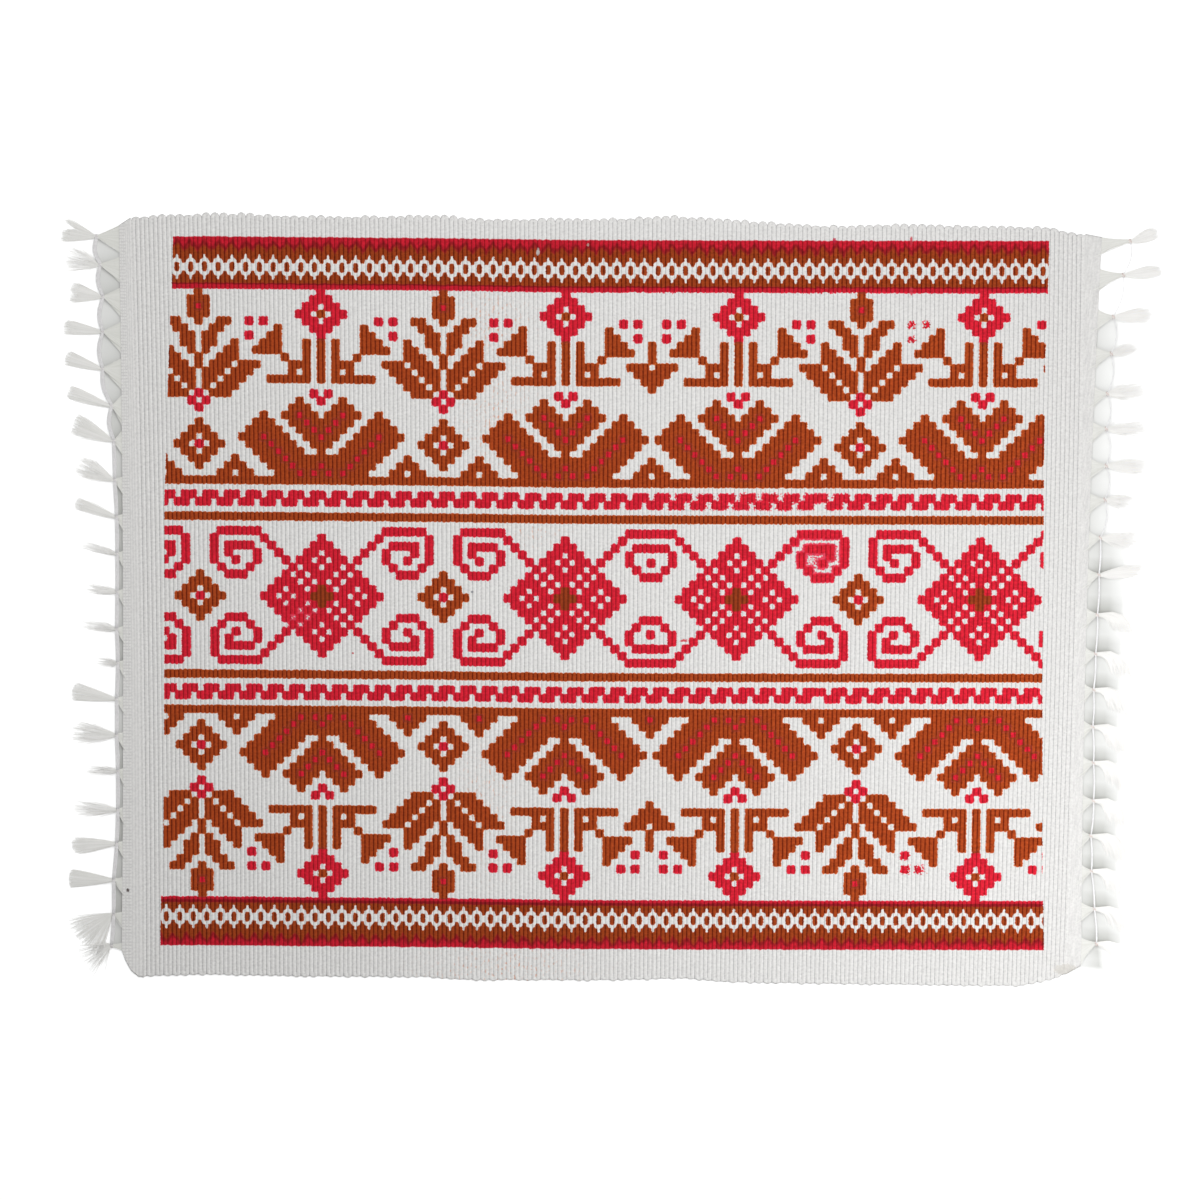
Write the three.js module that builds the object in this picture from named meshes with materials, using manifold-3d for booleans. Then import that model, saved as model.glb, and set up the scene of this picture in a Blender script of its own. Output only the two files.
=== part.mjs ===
// Fringed table mat of white ribbed cotton, laid flat.
// Millimetres, +Z up. The origin is on the surface under the middle of the mat's box,
// +X runs along the mat's length towards the right fringe, +Y across its width.
// The weft is a thick cord that runs to and fro across the width, so the cloth is ribbed
// and each selvedge is a row of small loops. The warp ends are gathered into tassels, and
// one thread runs from tassel to tassel and binds each at its neck.

import * as THREE from "three";
import Module from "manifold-3d";
import { mergeVertices } from "three/addons/utils/BufferGeometryUtils.js";

const wasm = await Module();
wasm.setup();

// Driving dimensions.
const ribCount = 216;
const ribCrestHeight = 1.9; // thickness of the cloth on a rib
const ribGrooveHeight = 1.3; // thickness of the cloth between two ribs
const headingHeight = 1.2; // thickness of the plain-woven strip at each end
const loopShoulderDrop = 0.35; // how far a rib's top lies behind the middle of its loop
const loopValleyDrop = 1.1; // how far the notch between two loops lies behind
const pieceGap = 0.3; // clearance between neighbouring pieces

const spineWidth = 0.8; // the strip of warp ends that the tassels grow from
const fanHeight = 1.2;
const neckRadius = 0.75; // a tassel where the binding thread holds it
const neckLength = 1.6;
const neckCentreHeight = 1.56;
const brushHeight = 1.9;
const brushTipHeight = 1.0;
const brushTipNarrowing = 0.7; // width at the tip, as a share of the brush's widest

const threadDiameter = 0.8;
const collarLength = 1.0; // the turns of the binding thread round one neck, along X
const collarThickness = 0.7;

const clothColour = 0xe9e9e6;
const warpColour = 0xe4e6e0;
const threadColour = 0xe0e2e6;
const clothRoughness = 0.9;

// Where the ribs and the two end strips stop, along X, at the upper and lower selvedge.
const endLines = {
  leftEdge: { upper: -214.8, lower: -211.6 },
  leftRibs: { upper: -209.6, lower: -204.6 },
  rightRibs: { upper: 204.0, lower: 195.2 },
  rightEdge: { upper: 211.8, lower: 202.4 },
};

// The upper selvedge, as uneven as the weaver left it.
const upperSelvedge = [
  { x: -214.8, y: 162.6 },
  { x: -208.8, y: 166.1 },
  { x: -192.7, y: 166.6 },
  { x: -165.8, y: 167.9 },
  { x: -147.1, y: 167.2 },
  { x: -127.6, y: 166.6 },
  { x: -75.5, y: 166.8 },
  { x: -58.2, y: 165.5 },
  { x: -6.1, y: 165.5 },
  { x: 26.5, y: 166.6 },
  { x: 72.0, y: 163.5 },
  { x: 102.4, y: 162.2 },
  { x: 115.4, y: 163.1 },
  { x: 167.5, y: 162.2 },
  { x: 189.2, y: 161.8 },
  { x: 196.2, y: 160.1 },
  { x: 204.4, y: 158.8 },
  { x: 211.8, y: 157.4 },
];

// The lower selvedge.
const lowerSelvedge = [
  { x: -211.6, y: -154.0 },
  { x: -206.2, y: -163.7 },
  { x: -179.7, y: -162.8 },
  { x: -127.6, y: -163.7 },
  { x: -82.0, y: -163.9 },
  { x: -65.5, y: -165.2 },
  { x: -6.1, y: -165.4 },
  { x: 33.0, y: -164.6 },
  { x: 46.0, y: -166.1 },
  { x: 89.4, y: -166.9 },
  { x: 132.8, y: -167.4 },
  { x: 176.2, y: -167.9 },
  { x: 185.0, y: -166.0 },
  { x: 191.8, y: -164.6 },
  { x: 197.0, y: -162.0 },
  { x: 202.4, y: -158.9 },
];

// One row for each tassel, from the upper selvedge down: its neck, its tip and the
// greatest width of its brush.
const leftTassels = [
  { neckX: -224.4, neckY: 157.5, tipX: -238.3, tipY: 158.6, spread: 7.5 },
  { neckX: -222.9, neckY: 145.3, tipX: -237.0, tipY: 146.2, spread: 7.5 },
  { neckX: -221.6, neckY: 131.4, tipX: -235.2, tipY: 133.4, spread: 5.5 },
  { neckX: -221.8, neckY: 116.2, tipX: -237.8, tipY: 117.5, spread: 4.5 },
  { neckX: -221.8, neckY: 100.2, tipX: -237.8, tipY: 104.4, spread: 5.5 },
  { neckX: -217.9, neckY: 84.1, tipX: -235.7, tipY: 89.2, spread: 5.5 },
  { neckX: -217.0, neckY: 69.1, tipX: -233.1, tipY: 75.8, spread: 5.0 },
  { neckX: -216.6, neckY: 52.0, tipX: -231.8, tipY: 58.6, spread: 5.0 },
  { neckX: -215.7, neckY: 35.9, tipX: -232.6, tipY: 41.8, spread: 5.0 },
  { neckX: -215.5, neckY: 19.9, tipX: -230.9, tipY: 24.2, spread: 4.0 },
  { neckX: -215.5, neckY: 3.4, tipX: -226.5, tipY: 5.1, spread: 4.0 },
  { neckX: -215.7, neckY: -12.7, tipX: -229.6, tipY: -10.9, spread: 4.5 },
  { neckX: -215.2, neckY: -27.4, tipX: -224.0, tipY: -27.0, spread: 4.0 },
  { neckX: -215.7, neckY: -43.1, tipX: -233.9, tipY: -39.6, spread: 4.5 },
  { neckX: -215.7, neckY: -58.7, tipX: -233.9, tipY: -57.4, spread: 5.0 },
  { neckX: -215.2, neckY: -74.3, tipX: -228.7, tipY: -73.0, spread: 5.0 },
  { neckX: -215.2, neckY: -91.2, tipX: -233.9, tipY: -90.4, spread: 6.0 },
  { neckX: -215.7, neckY: -105.8, tipX: -234.8, tipY: -106.4, spread: 6.5 },
  { neckX: -217.0, neckY: -121.6, tipX: -235.2, tipY: -120.9, spread: 7.5 },
  { neckX: -217.0, neckY: -136.6, tipX: -234.8, tipY: -141.4, spread: 9.0 },
  { neckX: -217.9, neckY: -150.0, tipX: -234.2, tipY: -154.2, spread: 7.5 },
];

const rightTassels = [
  { neckX: 223.9, neckY: 155.5, tipX: 237.0, tipY: 159.6, spread: 5.0 },
  { neckX: 220.9, neckY: 140.8, tipX: 238.3, tipY: 142.7, spread: 4.5 },
  { neckX: 216.6, neckY: 122.7, tipX: 233.5, tipY: 124.2, spread: 5.5 },
  { neckX: 215.7, neckY: 106.7, tipX: 229.3, tipY: 109.7, spread: 4.5 },
  { neckX: 214.0, neckY: 89.3, tipX: 230.5, tipY: 91.1, spread: 5.0 },
  { neckX: 213.5, neckY: 74.1, tipX: 230.5, tipY: 73.9, spread: 5.0 },
  { neckX: 213.5, neckY: 58.1, tipX: 230.9, tipY: 57.0, spread: 5.0 },
  { neckX: 212.9, neckY: 43.3, tipX: 227.1, tipY: 42.8, spread: 5.0 },
  { neckX: 210.9, neckY: 26.8, tipX: 228.3, tipY: 25.0, spread: 7.5 },
  { neckX: 210.3, neckY: 10.8, tipX: 228.3, tipY: 11.6, spread: 6.0 },
  { neckX: 209.6, neckY: -6.6, tipX: 225.2, tipY: -12.4, spread: 8.0 },
  { neckX: 208.8, neckY: -23.5, tipX: 222.8, tipY: -29.6, spread: 9.0 },
  { neckX: 208.0, neckY: -39.1, tipX: 221.4, tipY: -45.2, spread: 9.0 },
  { neckX: 207.6, neckY: -55.2, tipX: 220.5, tipY: -61.2, spread: 9.0 },
  { neckX: 207.9, neckY: -70.8, tipX: 220.1, tipY: -77.0, spread: 9.0 },
  { neckX: 207.9, neckY: -87.3, tipX: 219.4, tipY: -93.2, spread: 9.0 },
  { neckX: 206.8, neckY: -102.5, tipX: 220.5, tipY: -107.8, spread: 8.0 },
  { neckX: 207.0, neckY: -117.7, tipX: 220.5, tipY: -121.6, spread: 8.0 },
  { neckX: 208.3, neckY: -134.2, tipX: 220.9, tipY: -138.6, spread: 8.0 },
  { neckX: 209.2, neckY: -149.2, tipX: 219.6, tipY: -152.8, spread: 6.0 },
];

function lerp(from, to, share) {
  return from + (to - from) * share;
}

// The height in Y of a selvedge at one place along the mat.
function selvedgeAt(selvedge, x) {
  const next = selvedge.findIndex((point) => point.x >= x);
  if (next === 0) return selvedge[0].y;
  if (next < 0) return selvedge[selvedge.length - 1].y;
  const [before, after] = [selvedge[next - 1], selvedge[next]];
  return lerp(before.y, after.y, (x - before.x) / (after.x - before.x));
}

// Faces for a closed loft: rings of the same number of corners, one after the other.
function loft(rings) {
  const corners = rings[0].length;
  const faces = [];
  for (let ring = 0; ring + 1 < rings.length; ring += 1) {
    for (let corner = 0; corner < corners; corner += 1) {
      const a = ring * corners + corner;
      const b = ring * corners + ((corner + 1) % corners);
      faces.push(a, b, b + corners, a, b + corners, a + corners);
    }
  }
  const last = (rings.length - 1) * corners;
  for (let corner = 1; corner + 1 < corners; corner += 1) {
    faces.push(0, corner + 1, corner);
    faces.push(last, last + corner, last + corner + 1);
  }
  const geometry = new THREE.BufferGeometry();
  geometry.setAttribute("position", new THREE.Float32BufferAttribute(rings.flat(2), 3));
  geometry.setIndex(faces);
  return geometry;
}

function toSolid(geometry) {
  const bare = geometry.clone();
  bare.deleteAttribute("normal");
  bare.deleteAttribute("uv");
  const merged = mergeVertices(bare, 1e-5);
  return new wasm.Manifold(
    new wasm.Mesh({
      numProp: 3,
      vertProperties: Float32Array.from(merged.attributes.position.array),
      triVerts: Uint32Array.from(merged.index.array),
    }),
  );
}

function toGeometry(solid) {
  const { vertProperties, triVerts } = solid.getMesh();
  const geometry = new THREE.BufferGeometry();
  geometry.setAttribute("position", new THREE.BufferAttribute(vertProperties, 3));
  geometry.setIndex(new THREE.BufferAttribute(triVerts, 1));
  geometry.computeVertexNormals();
  return geometry;
}

function joinSolids(geometries) {
  return toGeometry(geometries.map(toSolid).reduce((whole, piece) => whole.add(piece)));
}

function namedMesh(name, geometry, color) {
  const material = new THREE.MeshStandardMaterial({
    color,
    roughness: clothRoughness,
    metalness: 0,
    side: THREE.FrontSide,
  });
  const mesh = new THREE.Mesh(geometry, material);
  mesh.name = name;
  return mesh;
}

// One cross-section of the cloth, from selvedge to selvedge.
function clothSection(upperX, lowerX, height, upperDrop, lowerDrop) {
  const upperY = selvedgeAt(upperSelvedge, upperX) - upperDrop;
  const lowerY = selvedgeAt(lowerSelvedge, lowerX) + lowerDrop;
  return [
    [lowerX, lowerY, 0],
    [upperX, upperY, 0],
    [upperX, upperY, height],
    [lowerX, lowerY, height],
  ];
}

// The woven cloth: the two plain end strips and the ribs between them. Sections stand in
// every groove and on every rib. Two ribs share a loop at the upper selvedge, and each of
// them shares one at the lower selvedge with its other neighbour.
function wovenPanel() {
  const { leftEdge, leftRibs, rightRibs, rightEdge } = endLines;
  const sections = [clothSection(leftEdge.upper, leftEdge.lower, headingHeight, 0, 0)];
  const loopDrops = [loopValleyDrop, loopShoulderDrop, 0, loopShoulderDrop];
  for (let half = 0; half <= 2 * ribCount; half += 1) {
    const share = half / (2 * ribCount);
    const atEnd = half === 0 || half === 2 * ribCount;
    const height = half % 2 === 1 ? ribCrestHeight : ribGrooveHeight;
    sections.push(
      clothSection(
        lerp(leftRibs.upper, rightRibs.upper, share),
        lerp(leftRibs.lower, rightRibs.lower, share),
        atEnd ? headingHeight : height,
        loopDrops[half % 4],
        loopDrops[(half + 2) % 4],
      ),
    );
  }
  sections.push(clothSection(rightEdge.upper, rightEdge.lower, headingHeight, 0, 0));
  return loft(sections);
}

// A six-sided ring across a tassel or thread, flat on top and below.
function sixSides(centre, across, halfWidth, low, high) {
  const middle = (low + high) / 2;
  const side = (share, z) => [
    centre.x + across.x * halfWidth * share,
    centre.y + across.y * halfWidth * share,
    z,
  ];
  return [
    side(-1, middle),
    side(-0.5, high),
    side(0.5, high),
    side(1, middle),
    side(0.5, low),
    side(-0.5, low),
  ];
}

// The outer line of one end of the cloth, at a height in Y.
function edgeXAt(edge, y) {
  const upperY = selvedgeAt(upperSelvedge, edge.upper);
  const lowerY = selvedgeAt(lowerSelvedge, edge.lower);
  return lerp(edge.lower, edge.upper, (y - lowerY) / (upperY - lowerY));
}

// One tassel: a flat fan of warp ends, the bound neck and the loose brush.
function tassel(row, upperY, lowerY, edge, outward) {
  const sideways = new THREE.Vector2(0, 1);
  const fanY = (upperY + lowerY) / 2;
  const fanX = edgeXAt(edge, fanY) + outward * (pieceGap + spineWidth / 2);
  const neckHalf = (neckRadius * Math.sqrt(3)) / 2;
  const [neckLow, neckHigh] = [neckCentreHeight - neckHalf, neckCentreHeight + neckHalf];
  const neck = (offset) => new THREE.Vector2(row.neckX + outward * offset, row.neckY);
  const tip = new THREE.Vector2(row.tipX, row.tipY);
  const brushFrom = neck(neckLength / 2);
  const lean = tip.clone().sub(brushFrom).normalize();
  const across = new THREE.Vector2(-lean.y, lean.x).multiplyScalar(outward);
  const belly = brushFrom.clone().lerp(tip, 0.6);
  const fanHalf = (upperY - lowerY) / 2;
  const rings = [
    sixSides(new THREE.Vector2(fanX, fanY), sideways, fanHalf, 0, fanHeight),
    sixSides(neck(-neckLength / 2), sideways, neckRadius, neckLow, neckHigh),
    sixSides(brushFrom, sideways, neckRadius, neckLow, neckHigh),
    sixSides(belly, across, row.spread / 2, 0, brushHeight),
    sixSides(tip, across, (row.spread / 2) * brushTipNarrowing, 0, brushTipHeight),
  ];
  return loft(outward > 0 ? rings.reverse() : rings);
}

// The strip of warp ends beside the cloth, which carries the tassels.
function spine(edge, outward) {
  const upperY = selvedgeAt(upperSelvedge, edge.upper);
  const lowerY = selvedgeAt(lowerSelvedge, edge.lower);
  const ring = (x, y) => {
    const [near, far] = [x + outward * pieceGap, x + outward * (pieceGap + spineWidth)];
    const [low, high] = [Math.min(near, far), Math.max(near, far)];
    return [
      [low, y, 0],
      [low, y, fanHeight],
      [high, y, fanHeight],
      [high, y, 0],
    ];
  };
  return loft([ring(edge.lower, lowerY), ring(edge.upper, upperY)]);
}

function fringe(rows, edge, outward) {
  const upperY = selvedgeAt(upperSelvedge, edge.upper);
  const lowerY = selvedgeAt(lowerSelvedge, edge.lower);
  const between = rows.slice(1).map((row, index) => (row.neckY + rows[index].neckY) / 2);
  const bounds = [upperY, ...between, lowerY];
  const fans = rows.map((row, index) =>
    tassel(row, bounds[index] - pieceGap, bounds[index + 1] + pieceGap, edge, outward),
  );
  return joinSolids([spine(edge, outward), ...fans]);
}

// The turns of thread round one neck, as a six-sided collar.
function collar(row) {
  const outline = (radius) =>
    Array.from({ length: 6 }, (_, corner) => {
      const angle = (corner * Math.PI) / 3;
      return new THREE.Vector2(radius * Math.cos(angle), radius * Math.sin(angle));
    });
  const innerRadius = neckRadius + (2 * pieceGap) / Math.sqrt(3);
  const shape = new THREE.Shape(outline(innerRadius + collarThickness));
  shape.holes.push(new THREE.Path(outline(innerRadius)));
  const geometry = new THREE.ExtrudeGeometry(shape, {
    depth: collarLength,
    bevelEnabled: false,
  });
  geometry.translate(0, 0, -collarLength / 2);
  geometry.applyMatrix4(
    new THREE.Matrix4().makeBasis(
      new THREE.Vector3(0, 1, 0),
      new THREE.Vector3(0, 0, 1),
      new THREE.Vector3(1, 0, 0),
    ),
  );
  return geometry.translate(row.neckX, row.neckY, neckCentreHeight);
}

// The thread from one collar to the next.
function threadRun(upper, lower) {
  const reach = neckRadius + pieceGap + collarThickness / 2;
  const from = new THREE.Vector2(lower.neckX, lower.neckY + reach);
  const to = new THREE.Vector2(upper.neckX, upper.neckY - reach);
  const across = new THREE.Vector2(1, 0);
  const low = neckCentreHeight - threadDiameter / 2;
  const high = neckCentreHeight + threadDiameter / 2;
  return loft([
    sixSides(from, across, threadDiameter / 2, low, high),
    sixSides(to, across, threadDiameter / 2, low, high),
  ]);
}

function knotThread(rows) {
  const runs = rows.slice(1).map((row, index) => threadRun(rows[index], row));
  return joinSolids([...rows.map(collar), ...runs]);
}

const group = new THREE.Group();
group.add(namedMesh("woven_panel", wovenPanel(), clothColour));
group.add(namedMesh("fringe_left", fringe(leftTassels, endLines.leftEdge, -1), warpColour));
group.add(namedMesh("fringe_right", fringe(rightTassels, endLines.rightEdge, 1), warpColour));
group.add(namedMesh("knot_thread_left", knotThread(leftTassels), threadColour));
group.add(namedMesh("knot_thread_right", knotThread(rightTassels), threadColour));

export default group;
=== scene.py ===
from functools import partial

import bpy
import numpy as np
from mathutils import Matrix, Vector


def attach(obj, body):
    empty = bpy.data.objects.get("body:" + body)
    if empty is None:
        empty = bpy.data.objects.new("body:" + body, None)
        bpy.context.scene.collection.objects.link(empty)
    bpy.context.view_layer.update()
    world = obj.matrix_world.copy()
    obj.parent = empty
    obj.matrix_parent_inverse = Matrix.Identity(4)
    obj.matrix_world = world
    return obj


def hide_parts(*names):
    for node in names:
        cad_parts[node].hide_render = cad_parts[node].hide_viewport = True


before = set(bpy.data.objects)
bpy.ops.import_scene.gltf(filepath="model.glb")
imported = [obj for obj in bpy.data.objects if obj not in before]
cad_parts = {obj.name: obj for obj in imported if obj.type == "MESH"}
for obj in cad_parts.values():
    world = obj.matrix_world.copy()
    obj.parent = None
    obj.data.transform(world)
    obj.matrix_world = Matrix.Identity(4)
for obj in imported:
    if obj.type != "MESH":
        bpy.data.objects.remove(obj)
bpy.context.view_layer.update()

mm = 0.001
print("frame loaded,", len(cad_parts), "nodes")


def hexColour(code):
    values = [int(code[i:i + 2], 16) / 255 for i in (1, 3, 5)]
    linear = [v / 12.92 if v <= 0.04045 else ((v + 0.055) / 1.055) ** 2.4 for v in values]
    return (*linear, 1.0)


def addNode(tree, kind, inputs=(), **settings):
    # Inputs are in the order of the node's sockets, or under their names or numbers.
    node = tree.nodes.new("ShaderNode" + kind)
    for name, value in settings.items():
        setattr(node, name, value)
    for socket, value in inputs.items() if isinstance(inputs, dict) else enumerate(inputs):
        if isinstance(value, bpy.types.Node):
            value = value.outputs[0]
        if isinstance(value, bpy.types.NodeSocket):
            tree.links.new(value, node.inputs[socket])
        else:
            node.inputs[socket].default_value = value
    return node


def newMaterial(name):
    material = bpy.data.materials.new(name)
    material.use_nodes = True
    material.node_tree.nodes.clear()
    return material, partial(addNode, material.node_tree)


def addObject(name, vertices, faces, material):
    mesh = bpy.data.meshes.new(name)
    mesh.from_pydata(np.asarray(vertices).reshape(-1, 3).tolist(), [], faces)
    mesh.materials.append(material)
    mesh.polygons.foreach_set("use_smooth", [True] * len(mesh.polygons))
    piece = bpy.data.objects.new(name, mesh)
    bpy.context.scene.collection.objects.link(piece)
    return piece


def addAttribute(mesh, name, kind, domain, values):
    field = {"FLOAT": "value", "FLOAT_VECTOR": "vector"}[kind]
    attribute = mesh.attributes.new(name, kind, domain)
    attribute.data.foreach_set(field, np.asarray(values, dtype=np.float32).ravel())


# The mat's outline in millimetres. Pairs are at the upper and the lower selvedge.
outline = {
    "leftEdge": (-214.8, -213.6),
    "leftRibs": (-209.6, -204.6),
    "rightRibs": (204.6, 196.5),
    "rightEdge": (211.8, 202.4),
    "bows": (1.1, 1.15),  # how far each end leans to the right halfway down
    "bowSpan": 430,  # the length over which one lean passes into the other
    "upperSelvedge": [
        (-214.8, 162.6), (-208.8, 166.5), (-192.7, 167.3), (-165.8, 167.9), (-147.1, 167.2),
        (-127.6, 166.6), (-75.5, 166.8), (-58.2, 165.5), (-6.1, 165.5), (26.5, 166.6),
        (72.0, 163.5), (102.4, 162.2), (115.4, 163.1), (167.5, 162.2), (189.2, 161.8),
        (196.2, 160.1), (204.4, 158.8), (211.8, 157.4),
    ],
    "lowerSelvedge": [
        (-213.6, -152.4), (-212.0, -156.6), (-209.6, -161.0), (-206.2, -163.7), (-179.7, -162.8),
        (-127.6, -163.7), (-82.0, -163.9), (-65.5, -165.2), (-6.1, -165.4), (33.0, -164.6),
        (46.0, -166.1), (89.4, -166.9), (132.8, -167.4), (176.2, -167.9), (185.0, -166.0),
        (191.8, -164.6), (197.0, -162.0), (202.4, -158.9),
    ],
}


def alongCurve(points, x):
    return np.interp(x, *zip(*points))


def lineX(upperX, lowerX, y):
    top = alongCurve(outline["upperSelvedge"], upperX)
    bottom = alongCurve(outline["lowerSelvedge"], lowerX)
    down = np.clip((top - y) / (top - bottom), 0, 1)
    along = np.clip((upperX - outline["leftEdge"][0]) / outline["bowSpan"], 0, 1)
    bow = outline["bows"][0] * (1 - along) ** 3 + outline["bows"][1] * along**3
    return upperX + (lowerX - upperX) * down + bow * 4 * down * (1 - down)


# Half charts of the ornament, from the upper border down, each from its centre column outwards:
# x red, o rust, b rust under red, and . bare cloth.
rosetteChart = """
o
oo
.oo
x.oo
.oo
oo
o
""".split()

leafChart = """
o
oo
xo
oo
o..oo
..oo
.oo
.oo..o
.o..oo
o..ooo
o.ooo.ooo
.ooo.ooo
.oo.ooo
.o.ooo
x.ooo
.x
x
.
""".split() + rosetteChart

tulipChart = """
x
xx
.xx
o.xx
.xx.....x.x
xx....o
x.....oo..x
o.o...ooo
o.o...oooo
o.o..o
o.ooo
o.o.o
o.oooooo
.
.x
x..o
..ooo
.ooxoo..o
ooxoo..ooo
oxoo..ooooo
xoo..oooxooo
oo..oooxooo
o..oooxooo
oooooxooo
xoooxooo
oxoxooo
""".split()

sproutChart = """
.
.
.
.
.
.
.
o
o
o
.ooo
ooo
oo
o
""".split()

hillChart = """
o
oo
.oo
""".split()

spiralChart = """
...xxxxxx
..x
..x.xxxx
..x.x...x
..x..x..x
...x...x
....xxx
""".split()

ringChart = """
xxxx
.
xxx
...x
x..x
..x
xx
""".split()

diamondChart = """
x.......x
xx.....x
.xx...x
x.xx.x
.xx.x
xx.x.x
x.x.xxx
bx.xx.xx
bbxx.x.xx
""".split()

ornament = {
    "rows": 85,
    "middleRow": 42,
    "columns": (-46, 104),
    "leafColumns": (-34, 0, 58, 92),
    "tulipColumns": (-17, 17, 41, 75),
    "sproutColumns": (29,),
    "baseRow": 26,  # the rust line that the plants hang from
    "meanderRow": 28,
    "innerRow": 31,  # the rust line beside the middle band
    "bandRow": 33,
    "slipColumn": 54,  # where the meander's block was set down one cell late
    "zeroX": -74.0,
    "columnPitch": 3.101,
    "columnGrowth": 0.000206,  # how much the pitch grows with each millimetre of Y
    "upperRowPitch": 3.139,
    "lowerRowPitch": 3.080,
    "middleLine": [(-180, 1.95), (-74, 1.04), (-21, 0.30), (53, 0.04), (160, -0.13)],
    "leftLimit": [
        (-152, -196.8), (-140, -196.8), (-128, -196.4), (-123, -195.6), (-100, -195.5), (-43, -195.1),
        (43, -195.1), (52, -194.7), (108, -193.1), (130, -192.2), (135, -191.9), (155, -191.3),
    ],
    "rightLimit": [
        (-152, 186.4), (-135, 186.4), (-128, 185.8), (-30, 185.8), (0, 186.3), (52, 186.4),
        (104, 187.0), (132, 188.1), (155, 188.8),
    ],
}


def drawChart(inks, chart, column, row, step=1):
    for line, marks in enumerate(chart):
        for offset, mark in enumerate(marks):
            for side in (-1, 1):
                cell = (row + step * line, column + side * offset - ornament["columns"][0])
                if mark in "xb":
                    inks["red"][cell] = True
                if mark in "ob":
                    inks["rust"][cell] = True


def chartOrnament():
    first, last = ornament["columns"]
    rows, middle = ornament["rows"], ornament["middleRow"]
    columns = np.arange(first, last + 1)
    inks = {name: np.zeros((rows, len(columns)), dtype=bool) for name in ("red", "rust")}
    leaves, tulips, sprout = [ornament[name + "Columns"] for name in ("leaf", "tulip", "sprout")]
    hills = [column + side for column in leaves for side in (-5, 5)] + list(sprout)
    base, band = ornament["baseRow"], ornament["bandRow"]
    placings = (
        (leafChart, leaves, 0), (tulipChart, tulips, 0), (sproutChart, sprout, 0),
        (hillChart, hills, base - 3), (spiralChart, leaves, band), (diamondChart, tulips, band + 1),
        (ringChart, sprout, band),
    )
    for edge, step in ((0, 1), (rows - 1, -1)):
        for chart, standing, row in placings:
            for column in standing:
                drawChart(inks, chart, column, edge + step * row, step)
        for line in (base, ornament["innerRow"]):
            inks["rust"][edge + step * line] = True
    for column in leaves:
        drawChart(inks, rosetteChart, column, middle - 3)
    late = (columns >= ornament["slipColumn"]).astype(int)
    slip = (columns >= ornament["slipColumn"] - 3) & (late == 0)
    for row in (ornament["meanderRow"], rows - 2 - ornament["meanderRow"]):
        inks["red"][row] = (columns % 3 != 2 - 2 * late) | slip
        inks["red"][row + 1] = (columns % 3 != 1 + late) & ~(slip & (columns % 3 != 0))
    for column in (-5, 5, *sprout):
        inks["red"][rows - base, column - first] = True
    return inks


def rowEdgeY(x, edge):
    pitch = ornament["upperRowPitch"] if edge < ornament["middleRow"] else ornament["lowerRowPitch"]
    return alongCurve(ornament["middleLine"], x) + (ornament["middleRow"] - edge) * pitch


def columnAt(x, y):
    return (x - ornament["zeroX"]) / (ornament["columnPitch"] + ornament["columnGrowth"] * y)


def signedReach(cells, column):
    # How far a place is inside the ink of one chart row, in cells, or outside it as a minus.
    nearest = np.round(column)
    offset = column - nearest
    at = np.clip(nearest.astype(int) - ornament["columns"][0], 1, len(cells) - 2)
    here = cells[at]
    before = np.where(cells[at - 1] != here, 0.5 + offset, 0.5)
    after = np.where(cells[at + 1] != here, 0.5 - offset, 0.5)
    reach = np.minimum(np.minimum(before, after), 0.5)
    return np.where(here, reach, -reach)


# The woven cloth in millimetres: thick weft cords under fine warp.
cloth = {
    "ribs": 216,
    "headingLines": 6,  # thinner wefts in each end strip
    "ribParts": (0, 0.25, 0.75),  # a column in each groove and on each shoulder of a rib
    "thickness": 1.9,
    "grooveHeight": 1.58,
    "headingThickness": 1.2,
    "headingGroove": 1.12,
    "headingRise": 0.6,  # how much thicker each end strip grows towards the ribs
    "cordRadius": 0.95,
    "loopSquareness": 2.5,
    "loopNotch": (1.25, 0.45),  # the deepest that two loops part at the upper and lower selvedge
    "loopUnevenness": (0.5, 0.3),
    "loopGroove": 1.7,  # how far inside a loop the groove between its two ribs begins
    "endBow": {"left": 0.0, "right": -3.05},  # how far the cut ends curve inwards half-way down
    "endBowSpan": (160, -150),  # where that curve begins and ends
    # There: the upper face's height, and how far below the full thickness the lower one lies.
    "cutEnd": (1.1, 0.8),
    "edgeRounding": 0.6,  # how far in from an edge the cloth has risen to its height
    "selvedgeRows": (0, 0.25, 0.6, 0.95, 1.35, 1.8, 2.5, 3.4, 4.6),
    "undersideRows": (0, 0.6, 1.8, 4.6),
    "undersideMiddleRows": 5,
    "marginRows": 3,
    "seed": 11,
}


def clothColumns():
    parts = np.array(cloth["ribParts"])
    strips = (
        ("leftEdge", "leftRibs", cloth["headingLines"], True),
        ("leftRibs", "rightRibs", cloth["ribs"], False),
        ("rightRibs", "rightEdge", cloth["headingLines"], True),
    )
    upper, lower, rib, heading = [], [], [], []
    for start, stop, count, plain in strips:
        steps = (np.arange(count)[:, None] + parts).ravel()
        for place, line in ((0, upper), (1, lower)):
            a, b = outline[start][place], outline[stop][place]
            line.extend(a + (b - a) * steps / count)
        rib.extend(steps)
        heading.extend([plain] * len(steps))
    upper.append(outline["rightEdge"][0])
    lower.append(outline["rightEdge"][1])
    rib.append(cloth["headingLines"])
    heading.append(True)
    return np.array(upper), np.array(lower), np.array(rib), np.array(heading)


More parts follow.
